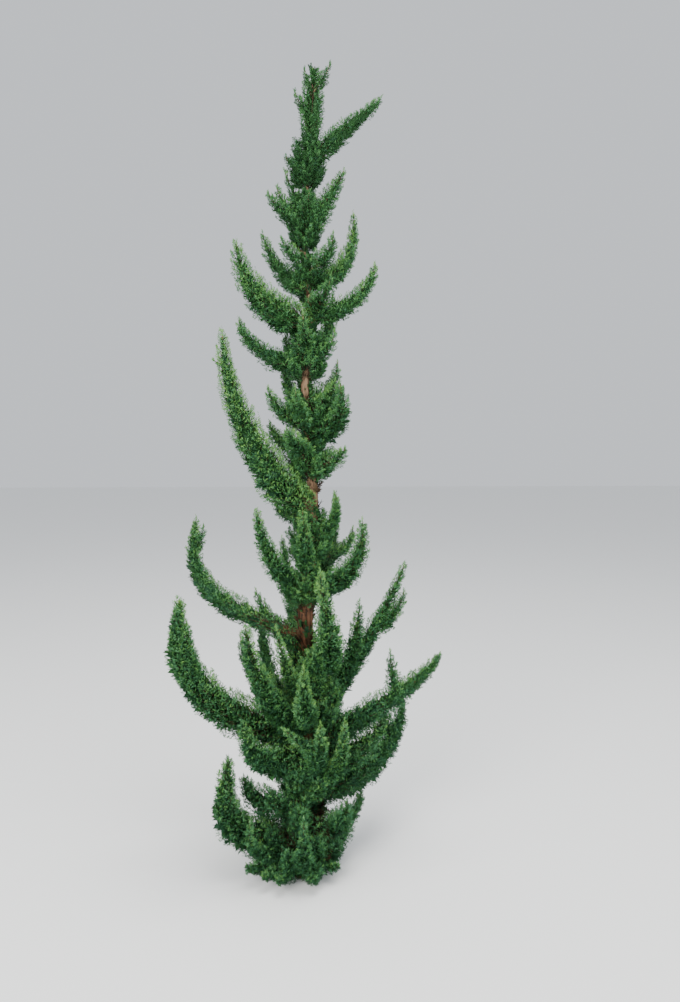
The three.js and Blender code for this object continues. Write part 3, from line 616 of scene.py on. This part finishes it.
def twigs_on(limb, low, rng, crown):
    """Twigs of a limb, with their roots further back than their ends. These stay under its
    outline by shares that swell and sink over the limb in smooth noise, and a little by chance.
    Each twig bears a tuft, as long as a share of the outline there."""
    count = max(5, round(limb_area(limb, low, 1) / crown.twig_room))
    t, angle = spread(limb, low, 1, count, STRAY, rng)
    outward = limb_frame(limb, t, angle)[1]
    outline = limb.outline(t)
    cells = max(2, round(limb.length / LUMP_SIZE))
    sunk = lattice_noise(angle / (2 * np.pi), t, LUMPS_ROUND, cells, rng)
    full = 1 - limb.uneven * lerp(sunk, rng.random(count), LUMP_CHANCE)
    back = (outline * limb.sweep * rng.uniform(0.7, 1.3, count) + TIP_SWEEP * t * t) / limb.length
    root = limb.at(np.maximum(t - back, 0.5 * low))
    lift = UP * (outline * TWIG_LIFT * rng.random(count))[:, None]
    reach = limb.at(t) + outward * (outline * full)[:, None] + lift - root
    length = np.linalg.norm(reach, axis=-1)
    tuft = np.clip(outline * TUFT_SHARE, *crown.tuft_length)
    tuft = np.minimum(tuft * rng.uniform(0.75, 1.25, count), length)
    return {
        "root": root, "heading": unit(reach), "length": length, "outward": outward,
        "tuft": tuft, "full": full, "tip": t**3 * min(1, limb.length / LONG_LIMB),
    }


def dealt(score, cold, blue):
    """Tints by score, from the darkest to the lightest, in the bluish row for a share of them; the
    score carries painted light and shade as well as young growth and tone.
    """
    level = np.clip(np.round(score * (LEVELS - 1)), 0, LEVELS - 1).astype(int)
    return np.where(cold < blue, level + COLD_ROW, level)


def facing(heading, outward, tilt):
    """The flat direction of sprays whose broad side looks outwards, tilted round their heading."""
    face = unit(outward - heading * (outward * heading).sum(-1, keepdims=True))
    return unit(np.cross(heading, face) * np.cos(tilt) + face * np.sin(tilt))


def by_twig(twigs, key):
    """One of the twigs' values as (twigs, 1, values)."""
    return twigs[key].reshape(len(twigs["tip"]), 1, -1)


def in_rows(values, shape):
    """Values spread over twigs and sprays, with one row for each spray."""
    return np.broadcast_to(values, (*shape[:2], values.shape[-1])).reshape(-1, values.shape[-1])


def tuft_sprays(twigs, bright, blue, brown, rng, crown):
    """The sprays of the tufts. They stand round the end of each twig by the golden angle, from
    one side past the outer face to the other, on a drop that narrows as the square root of what
    is left to its tip. They head forwards, fan and lean out, and their faces turn outwards. A
    share of the tufts is withered."""
    count = crown.tuft_leaves
    k = np.arange(count)[None, :, None]
    shape = (len(twigs["tip"]), count, 1)
    heading, outward, tuft = (by_twig(twigs, key) for key in ("heading", "outward", "tuft"))
    s = ((k + rng.random(shape)) / count) ** CROWDING
    turn = np.radians(GOLDEN_ANGLE * k + 360 * rng.random((shape[0], 1, 1)))
    turn = TUFT_ROUND * ((turn / np.pi) % 2 - 1)
    face = unit(outward - heading * (outward * heading).sum(-1, keepdims=True))
    radial = face * np.cos(turn) + np.cross(heading, face) * np.sin(turn)
    width = TUFT_WIDTH * tuft * np.sqrt(1 - s)
    length = rng.uniform(*crown.spray_length, shape)
    fan = rng.normal(0, FAN, shape)
    lean = rng.uniform(*LEAN, shape)
    along = unit(heading * np.cos(fan) + np.cross(heading, radial) * np.sin(fan) + radial * lean)
    along = unit(along + LIFT * UP)
    tip = by_twig(twigs, "root") + heading * (by_twig(twigs, "length") - tuft * (1 - s))
    tip = tip + radial * width - along * length * SPRAY_DEPTH
    # Young growth towards tufts' and long limbs' tips; painted light on tufts' top sides, limbs' upper
    # sides and proud tufts, painted shade on sunk tufts; tones by tuft and spray
    score = crown.tone + TUFT_TIP_LIGHT * (s - 0.5) + TUFT_TOP_LIGHT * radial[..., 2:]
    score = score + LIMB_TOP_LIGHT * outward[..., 2:] + LIMB_TIP_LIGHT * by_twig(twigs, "tip")
    score = score + PROUD_LIGHT * (by_twig(twigs, "full") - PROUD_FROM) + bright
    score = score + rng.normal(0, TUFT_TONE, (shape[0], 1, 1)) + rng.normal(0, SPRAY_TONE, shape)
    score = in_rows(score, shape)[:, 0]
    along = in_rows(along, shape)
    tint = dealt(score, rng.random(len(score)), blue)
    withered = in_rows(rng.random((shape[0], 1, 1)) < brown, shape)[:, 0]
    return {
        "root": in_rows(tip, shape), "heading": along,
        "flat": facing(along, in_rows(radial, shape), rng.normal(0, TILT, (len(along), 1))),
        "length": in_rows(length, shape)[:, 0],
        "tint": np.where(withered, BROWN_ROW + rng.integers(0, 5, len(tint)), tint),
        "kind": rng.integers(0, len(FINE_SPRAYS), len(score)),
    }


def tip_sprays(limb, bright, blue, rng, crown):
    """A few long fresh sprays that draw a limb out to a point."""
    count = np.arange(TIP_SPRAYS)
    t = lerp(TIP_FROM, 1.0, (count + 0.5) / TIP_SPRAYS)
    along, outward = limb_frame(limb, t, np.radians(GOLDEN_ANGLE * count))
    heading = unit(along + outward * rng.uniform(*TIP_OUT, (TIP_SPRAYS, 1)) + 0.1 * UP)
    length = crown.spray_length[1] * rng.uniform(*TIP_REACH, TIP_SPRAYS)
    tone, stray = TIP_TONE
    tone = tone + TIP_LIGHT * min(1, limb.length / LONG_LIMB) + bright
    score = rng.normal(tone, stray, TIP_SPRAYS)
    return {
        "root": limb.at(t), "heading": heading, "flat": facing(heading, outward, 0.0),
        "length": length, "tint": dealt(score, rng.random(TIP_SPRAYS), blue),
        "kind": rng.integers(0, len(FINE_SPRAYS), TIP_SPRAYS),
    }


def broad_sprays(root, outward, heading, length, blue, brown, rng):
    """Sprays of the filling, dark as painted shade, a share of them brown."""
    count = len(root)
    # Dark tints of painted shade, with a share of withered brown
    tint = dealt(rng.normal(*FILLING_SHADE, count), rng.random(count), blue)
    withered = rng.random(count) < brown
    return {
        "root": root, "heading": heading, "length": length,
        "flat": facing(heading, outward, rng.normal(0, 0.5, count)[:, None]),
        "tint": np.where(withered, BROWN_ROW + rng.integers(0, 6, count), tint),
        "kind": len(FINE_SPRAYS) + rng.integers(0, len(BROAD_SPRAYS), count),
    }


def filling(limb, low, blue, brown, rng):
    """Broad sprays inside a limb's foliage, dark as painted shade, rooted on it all round and
    headed forward and out, which close the view through the plume. They end short of its surface."""
    count = max(6, round(0.8 * limb_area(limb, low, FILLING_END) / FILLING_ROOM))
    t, angle = spread(limb, low, FILLING_END, count, FILLING_STRAY, rng)
    along, outward = limb_frame(limb, t, angle)
    heading = unit(outward * rng.uniform(*FILLING_OUT, (count, 1)) + along)
    out, onward = (heading * outward).sum(-1), (heading * along).sum(-1)
    radius = limb.outline(t)
    steep = np.maximum(out, 0.45)
    ahead = np.minimum(t + radius / steep * onward / limb.length, 1)
    radius = np.minimum(radius, limb.outline(ahead))
    length = np.clip(radius * rng.uniform(*FILLING_REACH, count) / steep, *FILLING_LENGTH)
    return broad_sprays(limb.at(t), outward, heading, length, blue, brown, rng)


def wisps(low, high, rng):
    """Small sprays on the trunk between two collars, which leave it half bare, dark as painted
    shade.
    """
    count = max(2, round((high - low) / WISP_STEP))
    z = rng.uniform(low, high + 1, count)
    angle = np.radians(GOLDEN_ANGLE * np.arange(count))
    outward = np.stack([np.cos(angle), np.sin(angle), 0 * angle], -1)
    heading = unit(outward * rng.uniform(*WISP_OUT, (count, 1)) + UP)
    root = trunk_at(z) + outward * (WISP_ROOT * trunk_radius(z))[:, None]
    length = trunk_radius(z) * rng.uniform(*WISP_REACH, count) + WISP_LEAST
    brown = lerp(*WISP_BROWN, low / TRUNK_HEIGHT)
    return broad_sprays(root, outward, heading, length, WISP_BLUE, brown, rng)


def point_along(sprays, share):
    """The point at a share of each spray's length, and how far off the trunk's middle it is."""
    point = sprays["root"] + sprays["heading"] * (sprays["length"] * share)[:, None]
    return point, point - trunk_at(point[:, 2])


def outside(sprays, low, high, thick):
    """The sprays that end far enough out in a collar to be seen."""
    tip, off = point_along(sprays, 1)
    away = np.linalg.norm(off[:, :2], axis=-1)
    return picked(sprays, away > SEEN_FROM * collar_outline(low, high, thick, tip[:, 2]))


def clear_fronts(sprays):
    """The sprays that don't cross in front of the bare stretches of trunk."""
    keep = np.full(len(sprays["length"]), True)
    for share in (0.5, 1.0):
        point, off = point_along(sprays, share)
        for low, high, half in BARE_FRONTS:
            level = (point[:, 2] > low) & (point[:, 2] < high)
            keep &= ~(level & (np.abs(off[:, 0]) < half) & (off[:, 1] < 0))
    return picked(sprays, keep)


def merged(groups):
    """One dictionary of arrays from many."""
    return {key: np.concatenate([g[key] for g in groups]) for key in groups[0]}


def collar_shoots(low, high, thick, rng):
    """Small shoots round the trunk by the golden angle, from low to high, that end on the
    collar's outline."""
    plump = SHOOT_SHARE * thick
    area = 2 * math.pi * thick * (high - low)
    count = max(5, round(area / (SHOOT_SPACING * plump) ** 2))
    shoots = []
    for k in range(count):
        share = (k + 0.5) / count
        end = lerp(low + 0.1 * (high - low), high, share**0.95)
        reach = float(collar_outline(low, high, thick, end)) * lerp(0.8, 1.0, rng.random())
        drop = min(end - low, reach * lerp(0.8, 1.4, rng.random()))
        turn = GOLDEN_ANGLE * k + SHOOT_STRAY * (rng.random() - 0.5)
        size = plump * lerp(0.85, 1.15, rng.random())
        rise = drop + 0.4 * plump
        shoots.append(Arm(end - drop, turn, reach, rise, SHOOT_BEND, SHOOT_LIFT, 0, size))
    return shoots


def grow_region(name, crown):
    """Sprays and twigs of one piece of foliage. Each arm, fork, shoot and collar starts from a
    seed of its own."""
    sprays, twigs = [], []

    def leaf(limb, start, bright, collar=None, core=False, pointed=True):
        rng = np.random.default_rng((SEED, limb.seed, 1))
        height = min(1, limb.at(np.array([0.5]))[0, 2] / TRUNK_HEIGHT)
        blue = lerp(*crown.bluish, height)
        brown = crown.withered * (1 - height) ** 2 if core else 0
        # Painted light, lighter low down and at mid height, and a tone of its own for each limb
        bright = bright + LOW_LIGHT * (1 - height) + rng.normal(0, LIMB_TONE)
        bright += MIDDLE_LIGHT * math.sin(math.pi * height)
        twigs.append(twigs_on(limb, start, rng, crown))
        tufts = tuft_sprays(twigs[-1], bright, blue, brown, rng, crown)
        sprays.append(outside(tufts, *collar[:3]) if collar else tufts)
        sprays.append(filling(limb, start, blue, brown, rng))
        if pointed:
            sprays.append(tip_sprays(limb, bright, blue, rng, crown))

    for part in REGIONS[name]:
        # Brightness of the part: young growth, painted light and painted shade
        bright = GROWTH_LIGHT_AND_SHADE.get(part, 0.0)
        if part in ARMS:
            seed = list(ARMS).index(part) * ARM_SEEDS
            start = leaf_start(ARMS[part], BARE.get(part, 0)) * ROOT_COVER
            leaf(arm_limb(ARMS[part], seed, crown), start, bright)
            for k, fork in enumerate(f for f in FORKS if f.on == part):
                leaf(arm_limb(fork, seed + 1 + k, crown), FORK_START, bright + FORK_LIGHT)
            continue
        collar = COLLARS[part]
        low, high, thick, shoots = collar
        seed = FIRST_COLLAR_SEED + list(COLLARS).index(part) * COLLAR_SEEDS
        for k, shoot in enumerate(shoots):
            start = leaf_start(shoot) * COLLAR_COVER
            leaf(arm_limb(shoot, seed + 1 + k, crown), start, bright + SHOOT_LIGHT, collar)
        plumed = thick > PLUMED_FROM
        inside = thick * (INNER_SHARE if plumed else 1)
        shade = INNER_SHADE if plumed else 0
        core = collar_limb(low, high, inside, seed + CORE_SEED, crown)
        leaf(core, 0, bright - shade, collar, core=True, pointed=high > TRUNK_HEIGHT)
        rng = np.random.default_rng((SEED, seed))
        for k, shoot in enumerate(collar_shoots(low, high, thick, rng) if plumed else ()):
            small = seed + SHOOT_SEED + k
            limb = arm_limb(shoot, small, crown, BLUNT_TAPER, BLUNT_SWEEP)
            leaf(limb, SHOOT_START, bright, collar, pointed=False)
        above = min([row[0] for row in COLLARS.values() if row[0] >= high], default=high)
        sprays.append(wisps(high, above, rng))
    return clear_fronts(merged(sprays)), merged(twigs)


def nodes_of(name):
    """The masses that a piece of foliage stands for."""
    found = []
    for part in REGIONS[name]:
        found += [f"mass_{part}_low", f"mass_{part}_high"] if part in PARTED else [f"mass_{part}"]
    return found


def matt_material(name, roughness):
    """A material that hardly shines, and its shader."""
    material = bpy.data.materials.new(name)
    material.use_nodes = True
    shader = material.node_tree.nodes["Principled BSDF"]
    shader.inputs["Roughness"].default_value = roughness
    shader.inputs["Specular IOR Level"].default_value = 0.2
    return material, shader


def plain_material(name, colour):
    """One plain colour, half matt."""
    material, shader = matt_material(name, 0.6)
    shader.inputs["Base Color"].default_value = (*colour, 1)
    return material


def add_node(tree, kind, inputs, **settings):
    """A new shader node: its settings, then each socket's plain value or the output it takes."""
    node = tree.nodes.new("ShaderNode" + kind)
    for key, value in settings.items():
        setattr(node, key, value)
    for socket, value in inputs.items():
        if isinstance(value, bpy.types.NodeSocket):
            tree.links.new(value, node.inputs[socket])
        else:
            node.inputs[socket].default_value = value
    return node


def bark_material(name, colours, scale):
    """Fibrous bark: long noise in the trunk's direction mixes a dark furrow colour with the ridge
    colour, which fades from red-brown near the ground, darkened there partly as painted shade, to
    tan above."""
    material, shader = matt_material(name, 0.9)
    tree = material.node_tree
    place = add_node(tree, "TexCoord", {}).outputs["Object"]
    stretch = add_node(tree, "Mapping", {"Vector": place, "Scale": (1, 1, 0.14)})
    fibre = add_node(tree, "TexNoise", {
        "Vector": stretch.outputs["Vector"], "Scale": scale, "Detail": 5, "Roughness": 0.65,
    }).outputs["Fac"]
    height = add_node(tree, "SeparateXYZ", {"Vector": place}).outputs["Z"]
    fade = add_node(tree, "MapRange", {"Value": height, "From Min": 0.9, "From Max": 1.8})
    # Red-brown low down, darkened partly as painted shade, fading to tan above
    ridge = add_node(tree, "Mix", {
        "Factor": fade.outputs["Result"], "A": (*colours.bark_low_and_shade, 1), "B": (*colours.bark_high, 1),
    }, data_type="RGBA")
    contrast = add_node(tree, "ValToRGB", {"Fac": fibre})
    furrow, crest = contrast.color_ramp.elements
    furrow.position, furrow.color = 0.34, (0.24, 0.2, 0.19, 1)
    crest.position, crest.color = 0.62, (1.15, 1.05, 1.0, 1)
    colour = add_node(tree, "Mix", {
        "Factor": 1.0, "A": ridge.outputs["Result"], "B": contrast.outputs["Color"],
    }, data_type="RGBA", blend_type="MULTIPLY")
    bump = add_node(tree, "Bump", {"Height": fibre, "Strength": 0.5, "Distance": 0.002})
    tree.links.new(colour.outputs["Result"], shader.inputs["Base Color"])
    tree.links.new(bump.outputs["Normal"], shader.inputs["Normal"])
    return material


def finished(piece, slot, *nodes):
    """Sets a piece on the tree's one body, in place of its nodes."""
    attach(piece, "root")
    if nodes:
        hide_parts(*nodes)


class CypressCrown(bpy.types.PropertyGroup):
    fullness: FloatProperty(
        name="Fullness", description="Where twigs end, beside their limb's outline", default=1.24,
    )
    bumps: FloatVectorProperty(
        name="Bumps", description="How far short of the outline tufts end, on arms and collars",
        default=(0.5, 0.48), size=2, min=0.0, max=1.0,
    )
    twig_room: FloatProperty(
        name="Twig room", description="Square millimetres of outline for each twig",
        default=800.0, min=1.0,
    )
    tuft_leaves: IntProperty(name="Tuft leaves", description="Sprays on each", default=16, min=1)
    tuft_length: FloatVectorProperty(
        name="Tuft length", description="Least and most, in millimetres", default=(26, 52), size=2,
    )
    spray_length: FloatVectorProperty(
        name="Spray length", description="Least and most, in millimetres", default=(9, 16), size=2,
    )
    tone: FloatProperty(
        name="Tone", description="Brightness of an average spray",
        default=0.32, min=0.0, max=1.0, subtype="FACTOR",
    )
    withered: FloatProperty(
        name="Withered", description="Share of brown sprays next to the trunk",
        default=0.5, min=0.0, max=1.0, subtype="FACTOR",
    )
    bluish: FloatVectorProperty(
        name="Bluish", description="Share of bluish sprays near the ground and near the top",
        default=(0.6, 0.1), size=2, min=0.0, max=1.0,
    )


class CypressColours(bpy.types.PropertyGroup):
    # Red-brown ridges near the ground, darkened partly as painted shade
    bark_low_and_shade: FloatVectorProperty(
        name="Bark low", description="Ridges of the bark near the ground",
        default=(0.1, 0.047, 0.024), subtype="COLOR",
    )
    bark_high: FloatVectorProperty(
        name="Bark high", description="Ridges of the bark in the crown",
        default=(0.27, 0.19, 0.12), subtype="COLOR",
    )
    twig: FloatVectorProperty(
        name="Twig", description="Twigs in the foliage", default=(0.05, 0.032, 0.018), subtype="COLOR",
    )


# Darkest, middle and lightest tint of each row: warm green, bluish and withered. The tints
# between are dealt as painted light and shade as well as young growth and tone
LEAF_COLOURS = {
    "leaf": ((0.018, 0.066, 0.018), (0.05, 0.156, 0.044), (0.145, 0.31, 0.068)),
    "leaf_cold": ((0.017, 0.06, 0.027), (0.045, 0.145, 0.062), (0.115, 0.27, 0.095)),
    "leaf_withered": ((0.03, 0.017, 0.009), (0.075, 0.044, 0.022), (0.16, 0.11, 0.06)),
}


def shades(dark, middle, fresh):
    """The tints of a row, evenly spaced by ratio from dark to middle and from there to fresh:
    lit and shaded copies of one colour, for painted light and shade as well as young growth.
    """
    spans = np.log([dark, middle, fresh])
    place = np.linspace(0, 2, LEVELS)
    return np.exp(np.stack([np.interp(place, (0, 1, 2), spans[:, k]) for k in range(3)], -1))


class CypressStudio(bpy.types.PropertyGroup):
    camera_place: FloatVectorProperty(
        name="Camera place", description="Where the camera stands, from the trunk's foot",
        default=(0, -2.7967, 1.61), subtype="TRANSLATION", unit="LENGTH",
    )
    floor_colour: FloatVectorProperty(
        name="Floor", description="Pale floor", default=(0.9, 0.9, 0.89), subtype="COLOR",
    )


class CYPRESS_OT_trunk(bpy.types.Operator):
    """Adds the trunk with its ridged bark"""

    bl_idname = "cypress.trunk"
    bl_label = "Trunk"

    def execute(self, context):
        """Rings of points up the trunk. Radius is the trunk's own times one plus the root lobes,
        plus long ridges: one minus twice the distance of a noise from its middle, stretched up
        the trunk and carried round by a slow twist."""
        rings, sides = 560, 60
        rng = np.random.default_rng((SEED, 1))
        z = np.linspace(0, TRUNK_HEIGHT, rings)
        share = (z / TRUNK_HEIGHT)[:, None]
        around = np.arange(sides) / sides
        twist = around + 0.35 * share + 0.02 * np.sin(14 * np.pi * share)
        coarse = lattice_noise(twist, share, 16, 34, rng)
        fine = lattice_noise(twist, share, 40, 130, rng)
        cracks = 1 - np.abs(2 * coarse - 1) * 1.2
        relief = 0.6 * cracks + 0.5 * (1 - np.abs(2 * fine - 1)) - 0.5
        radius = trunk_radius(z)[:, None]
        angle = 2 * np.pi * around
        lobes = FLARE_LOBE_DEPTH * np.cos(FLARE_LOBES * angle) * np.exp(-z / FLARE_HEIGHT)[:, None]
        radii = radius * (1 + lobes) + relief * np.minimum(RIDGE_DEPTH, radius * 0.12)
        path = trunk_at(z)
        points = np.stack([
            path[:, :1] + radii * np.sin(angle),
            path[:, 1:2] - radii * np.cos(angle),
            np.broadcast_to(z[:, None], radii.shape),
        ], -1).reshape(-1, 3)
        points = np.concatenate([points, path[[0, -1]]])
        material = bark_material("trunk_bark", context.scene.cypress_colours, 95)
        trunk = new_piece("trunk_bark", points, tube_faces(rings, sides), [material], smooth=True)
        finished(trunk, "trunk_bark", "trunk")
        return {"FINISHED"}


class CYPRESS_OT_boughs(bpy.types.Operator):
    """Adds the bare boughs and the limbs that go on inside the foliage"""

    bl_idname = "cypress.boughs"
    bl_label = "Boughs"

    def execute(self, context):
        """Each limb's radius falls from its root: to three quarters along a bare bough, and then,
        or from the trunk where there is none, as a power of what is left."""
        rings, sides = 32, 10
        rng = np.random.default_rng((SEED, 2))
        limbs = [(arm, BARE.get(name, 0)) for name, arm in ARMS.items()]
        limbs += [(fork, 0) for fork in FORKS]
        limbs += [(shoot, 0) for collar in COLLARS.values() for shoot in collar[3]]
        t = np.linspace(0, 0.97, rings)
        paths, sides_at, radii = [], [], []
        around = np.arange(sides) / sides
        for arm, bare in limbs:
            root = arm.thick * (BOUGH_ROOT_SHARE if bare else HIDDEN_LIMB_SHARE)
            along = np.clip((t - bare) / (1 - bare), 0, 1)
            thins = lerp(1, BOUGH_TIP_SHARE, np.clip(t / max(bare, 0.01), 0, 1)) if bare else 1
            radius = np.maximum(root * thins * (1 - along) ** LIMB_TAPER, LEAST_RADIUS)
            ridges = lattice_noise(around, t[:, None], 7, 24, rng) - 0.5
            paths.append(arm_at(arm, t))
            sides_at.append(arm_side(arm))
            radii.append(radius[:, None] * (1 + LIMB_RIDGES * ridges))
        points, quads, triangles = tubes(np.array(paths), np.array(sides_at), np.array(radii))
        material = bark_material("bough_bark", context.scene.cypress_colours, 140)
        boughs = new_piece("bough_bark", points, (quads, triangles), [material], smooth=True)
        finished(boughs, "bough_bark", *[f"bough_{name}" for name in BARE])
        return {"FINISHED"}


class CYPRESS_OT_foliage(bpy.types.Operator):
    """Adds the twigs and the sprays of every part of the crown"""

    bl_idname = "cypress.foliage"
    bl_label = "Foliage"

    def execute(self, context):
        """A twig is a three-sided tube along its heading."""
        crown = context.scene.cypress_crown
        tints = [
            plain_material(f"{row}_{level}", colour)
            for row, colours in LEAF_COLOURS.items()
            for level, colour in enumerate(shades(*colours))
        ]
        grown = []
        for name in REGIONS:
            sprays, twigs = grow_region(name, crown)
            points, faces, tint = sprays_mesh(sprays)
            finished(new_piece(name, points, (faces,), tints, tint), "foliage", *nodes_of(name))
            grown.append(twigs)
        twigs = merged(grown)
        ends = np.array([[0.0], [1.0]])
        length = (twigs["length"] - TWIG_BARED * twigs["tuft"])[:, None, None]
        paths = twigs["root"][:, None] + twigs["heading"][:, None] * length * ends
        level = unit(np.cross(twigs["heading"], UP + 0.01))
        radius = np.clip(twigs["length"] * TWIG_RADIUS, *TWIG_RADII)[:, None, None]
        radii = np.broadcast_to(radius * lerp(1.0, TWIG_TAPER, ends), (len(length), 2, 3))
        above = paths[:, :, 2].min(axis=1) > LOWEST_LEAF
        points, quads, triangles = tubes(paths[above], level[above], radii[above])
        colour = plain_material("twig_bark", context.scene.cypress_colours.twig)
        finished(new_piece("twigs", points, (quads, triangles), [colour]), "bough_bark")
        return {"FINISHED"}


def area_light(name, place, aim, power, colour):
    """A square lamp that faces a point."""
    lamp = bpy.data.lights.new(name, "AREA")
    lamp.size = LAMP_SIZE
    lamp.energy = power
    lamp.color = colour
    light = bpy.data.objects.new(name, lamp)
    light.location = place
    light.rotation_euler = (Vector(aim) - Vector(place)).to_track_quat("-Z", "Y").to_euler()
    bpy.context.scene.collection.objects.link(light)


class CYPRESS_OT_studio(bpy.types.Operator):
    """Adds the pale floor, the soft light and the camera at the photograph's angle"""

    bl_idname = "cypress.studio"
    bl_label = "Studio"

    def execute(self, context):
        studio = context.scene.cypress_studio
        square = np.array([[-1, -1, 0], [1, -1, 0], [1, 1, 0], [-1, 1, 0]])
        corners = square * (FLOOR_SIZE / 2 / MM)
        colour = plain_material("floor", studio.floor_colour)
        floor = new_piece("floor", corners, (np.array([[0, 1, 2, 3]]),), [colour])
        world = bpy.data.worlds.new("studio")
        world.use_nodes = True
        backdrop = world.node_tree.nodes["Background"]
        backdrop.inputs["Color"].default_value = (0.86, 0.9, 0.95, 1)
        backdrop.inputs["Strength"].default_value = 0.9
        context.scene.world = world
        area_light("top", (0.8, -1.5, 7.5), (0, 0, 0), 500, (1.0, 1.0, 0.98))
        area_light("key", (-3.6, -6.4, 5.0), (0, 0, 1.3), 700, (1.0, 0.98, 0.94))
        area_light("fill", (4.2, -6.0, 0.9), (0, 0, 0.6), 450, (0.95, 0.98, 1.0))
        lens = bpy.data.cameras.new("camera")
        lens.lens = FOCAL_PIXELS / PHOTO_HEIGHT * SENSOR
        lens.sensor_width = SENSOR
        camera = bpy.data.objects.new("camera", lens)
        camera.location = studio.camera_place
        camera.rotation_euler = (math.radians(90 - CAMERA_DOWN), 0, -math.radians(CAMERA_RIGHT))
        context.scene.collection.objects.link(camera)
        context.scene.camera = camera
        return {"FINISHED"}


OPERATORS = (CYPRESS_OT_trunk, CYPRESS_OT_boughs, CYPRESS_OT_foliage, CYPRESS_OT_studio)


class CYPRESS_PT_panel(bpy.types.Panel):
    """Sizes, colours and the steps that make the tree"""

    bl_idname = "CYPRESS_PT_panel"
    bl_label = "Lawson Cypress"
    bl_space_type = "VIEW_3D"
    bl_region_type = "UI"
    bl_category = "Cypress"

    def draw(self, context):
        for name in SETTINGS:
            box, settings = self.layout.box(), getattr(context.scene, name)
            for key in settings.__annotations__:
                box.prop(settings, key)
        for operator in OPERATORS:
            self.layout.operator(operator.bl_idname)


SETTINGS = {
    "cypress_crown": CypressCrown,
    "cypress_colours": CypressColours,
    "cypress_studio": CypressStudio,
}


def register():
    for cls in (*SETTINGS.values(), *OPERATORS, CYPRESS_PT_panel):
        bpy.utils.register_class(cls)
    for name, cls in SETTINGS.items():
        setattr(bpy.types.Scene, name, PointerProperty(type=cls))


def unregister():
    for name in SETTINGS:
        delattr(bpy.types.Scene, name)
    for cls in (CYPRESS_PT_panel, *reversed(OPERATORS), *reversed(SETTINGS.values())):
        bpy.utils.unregister_class(cls)


def main():
    register()
    bpy.ops.cypress.trunk()
    bpy.ops.cypress.boughs()
    bpy.ops.cypress.foliage()
    bpy.ops.cypress.studio()


if __name__ == "__main__":
    main()
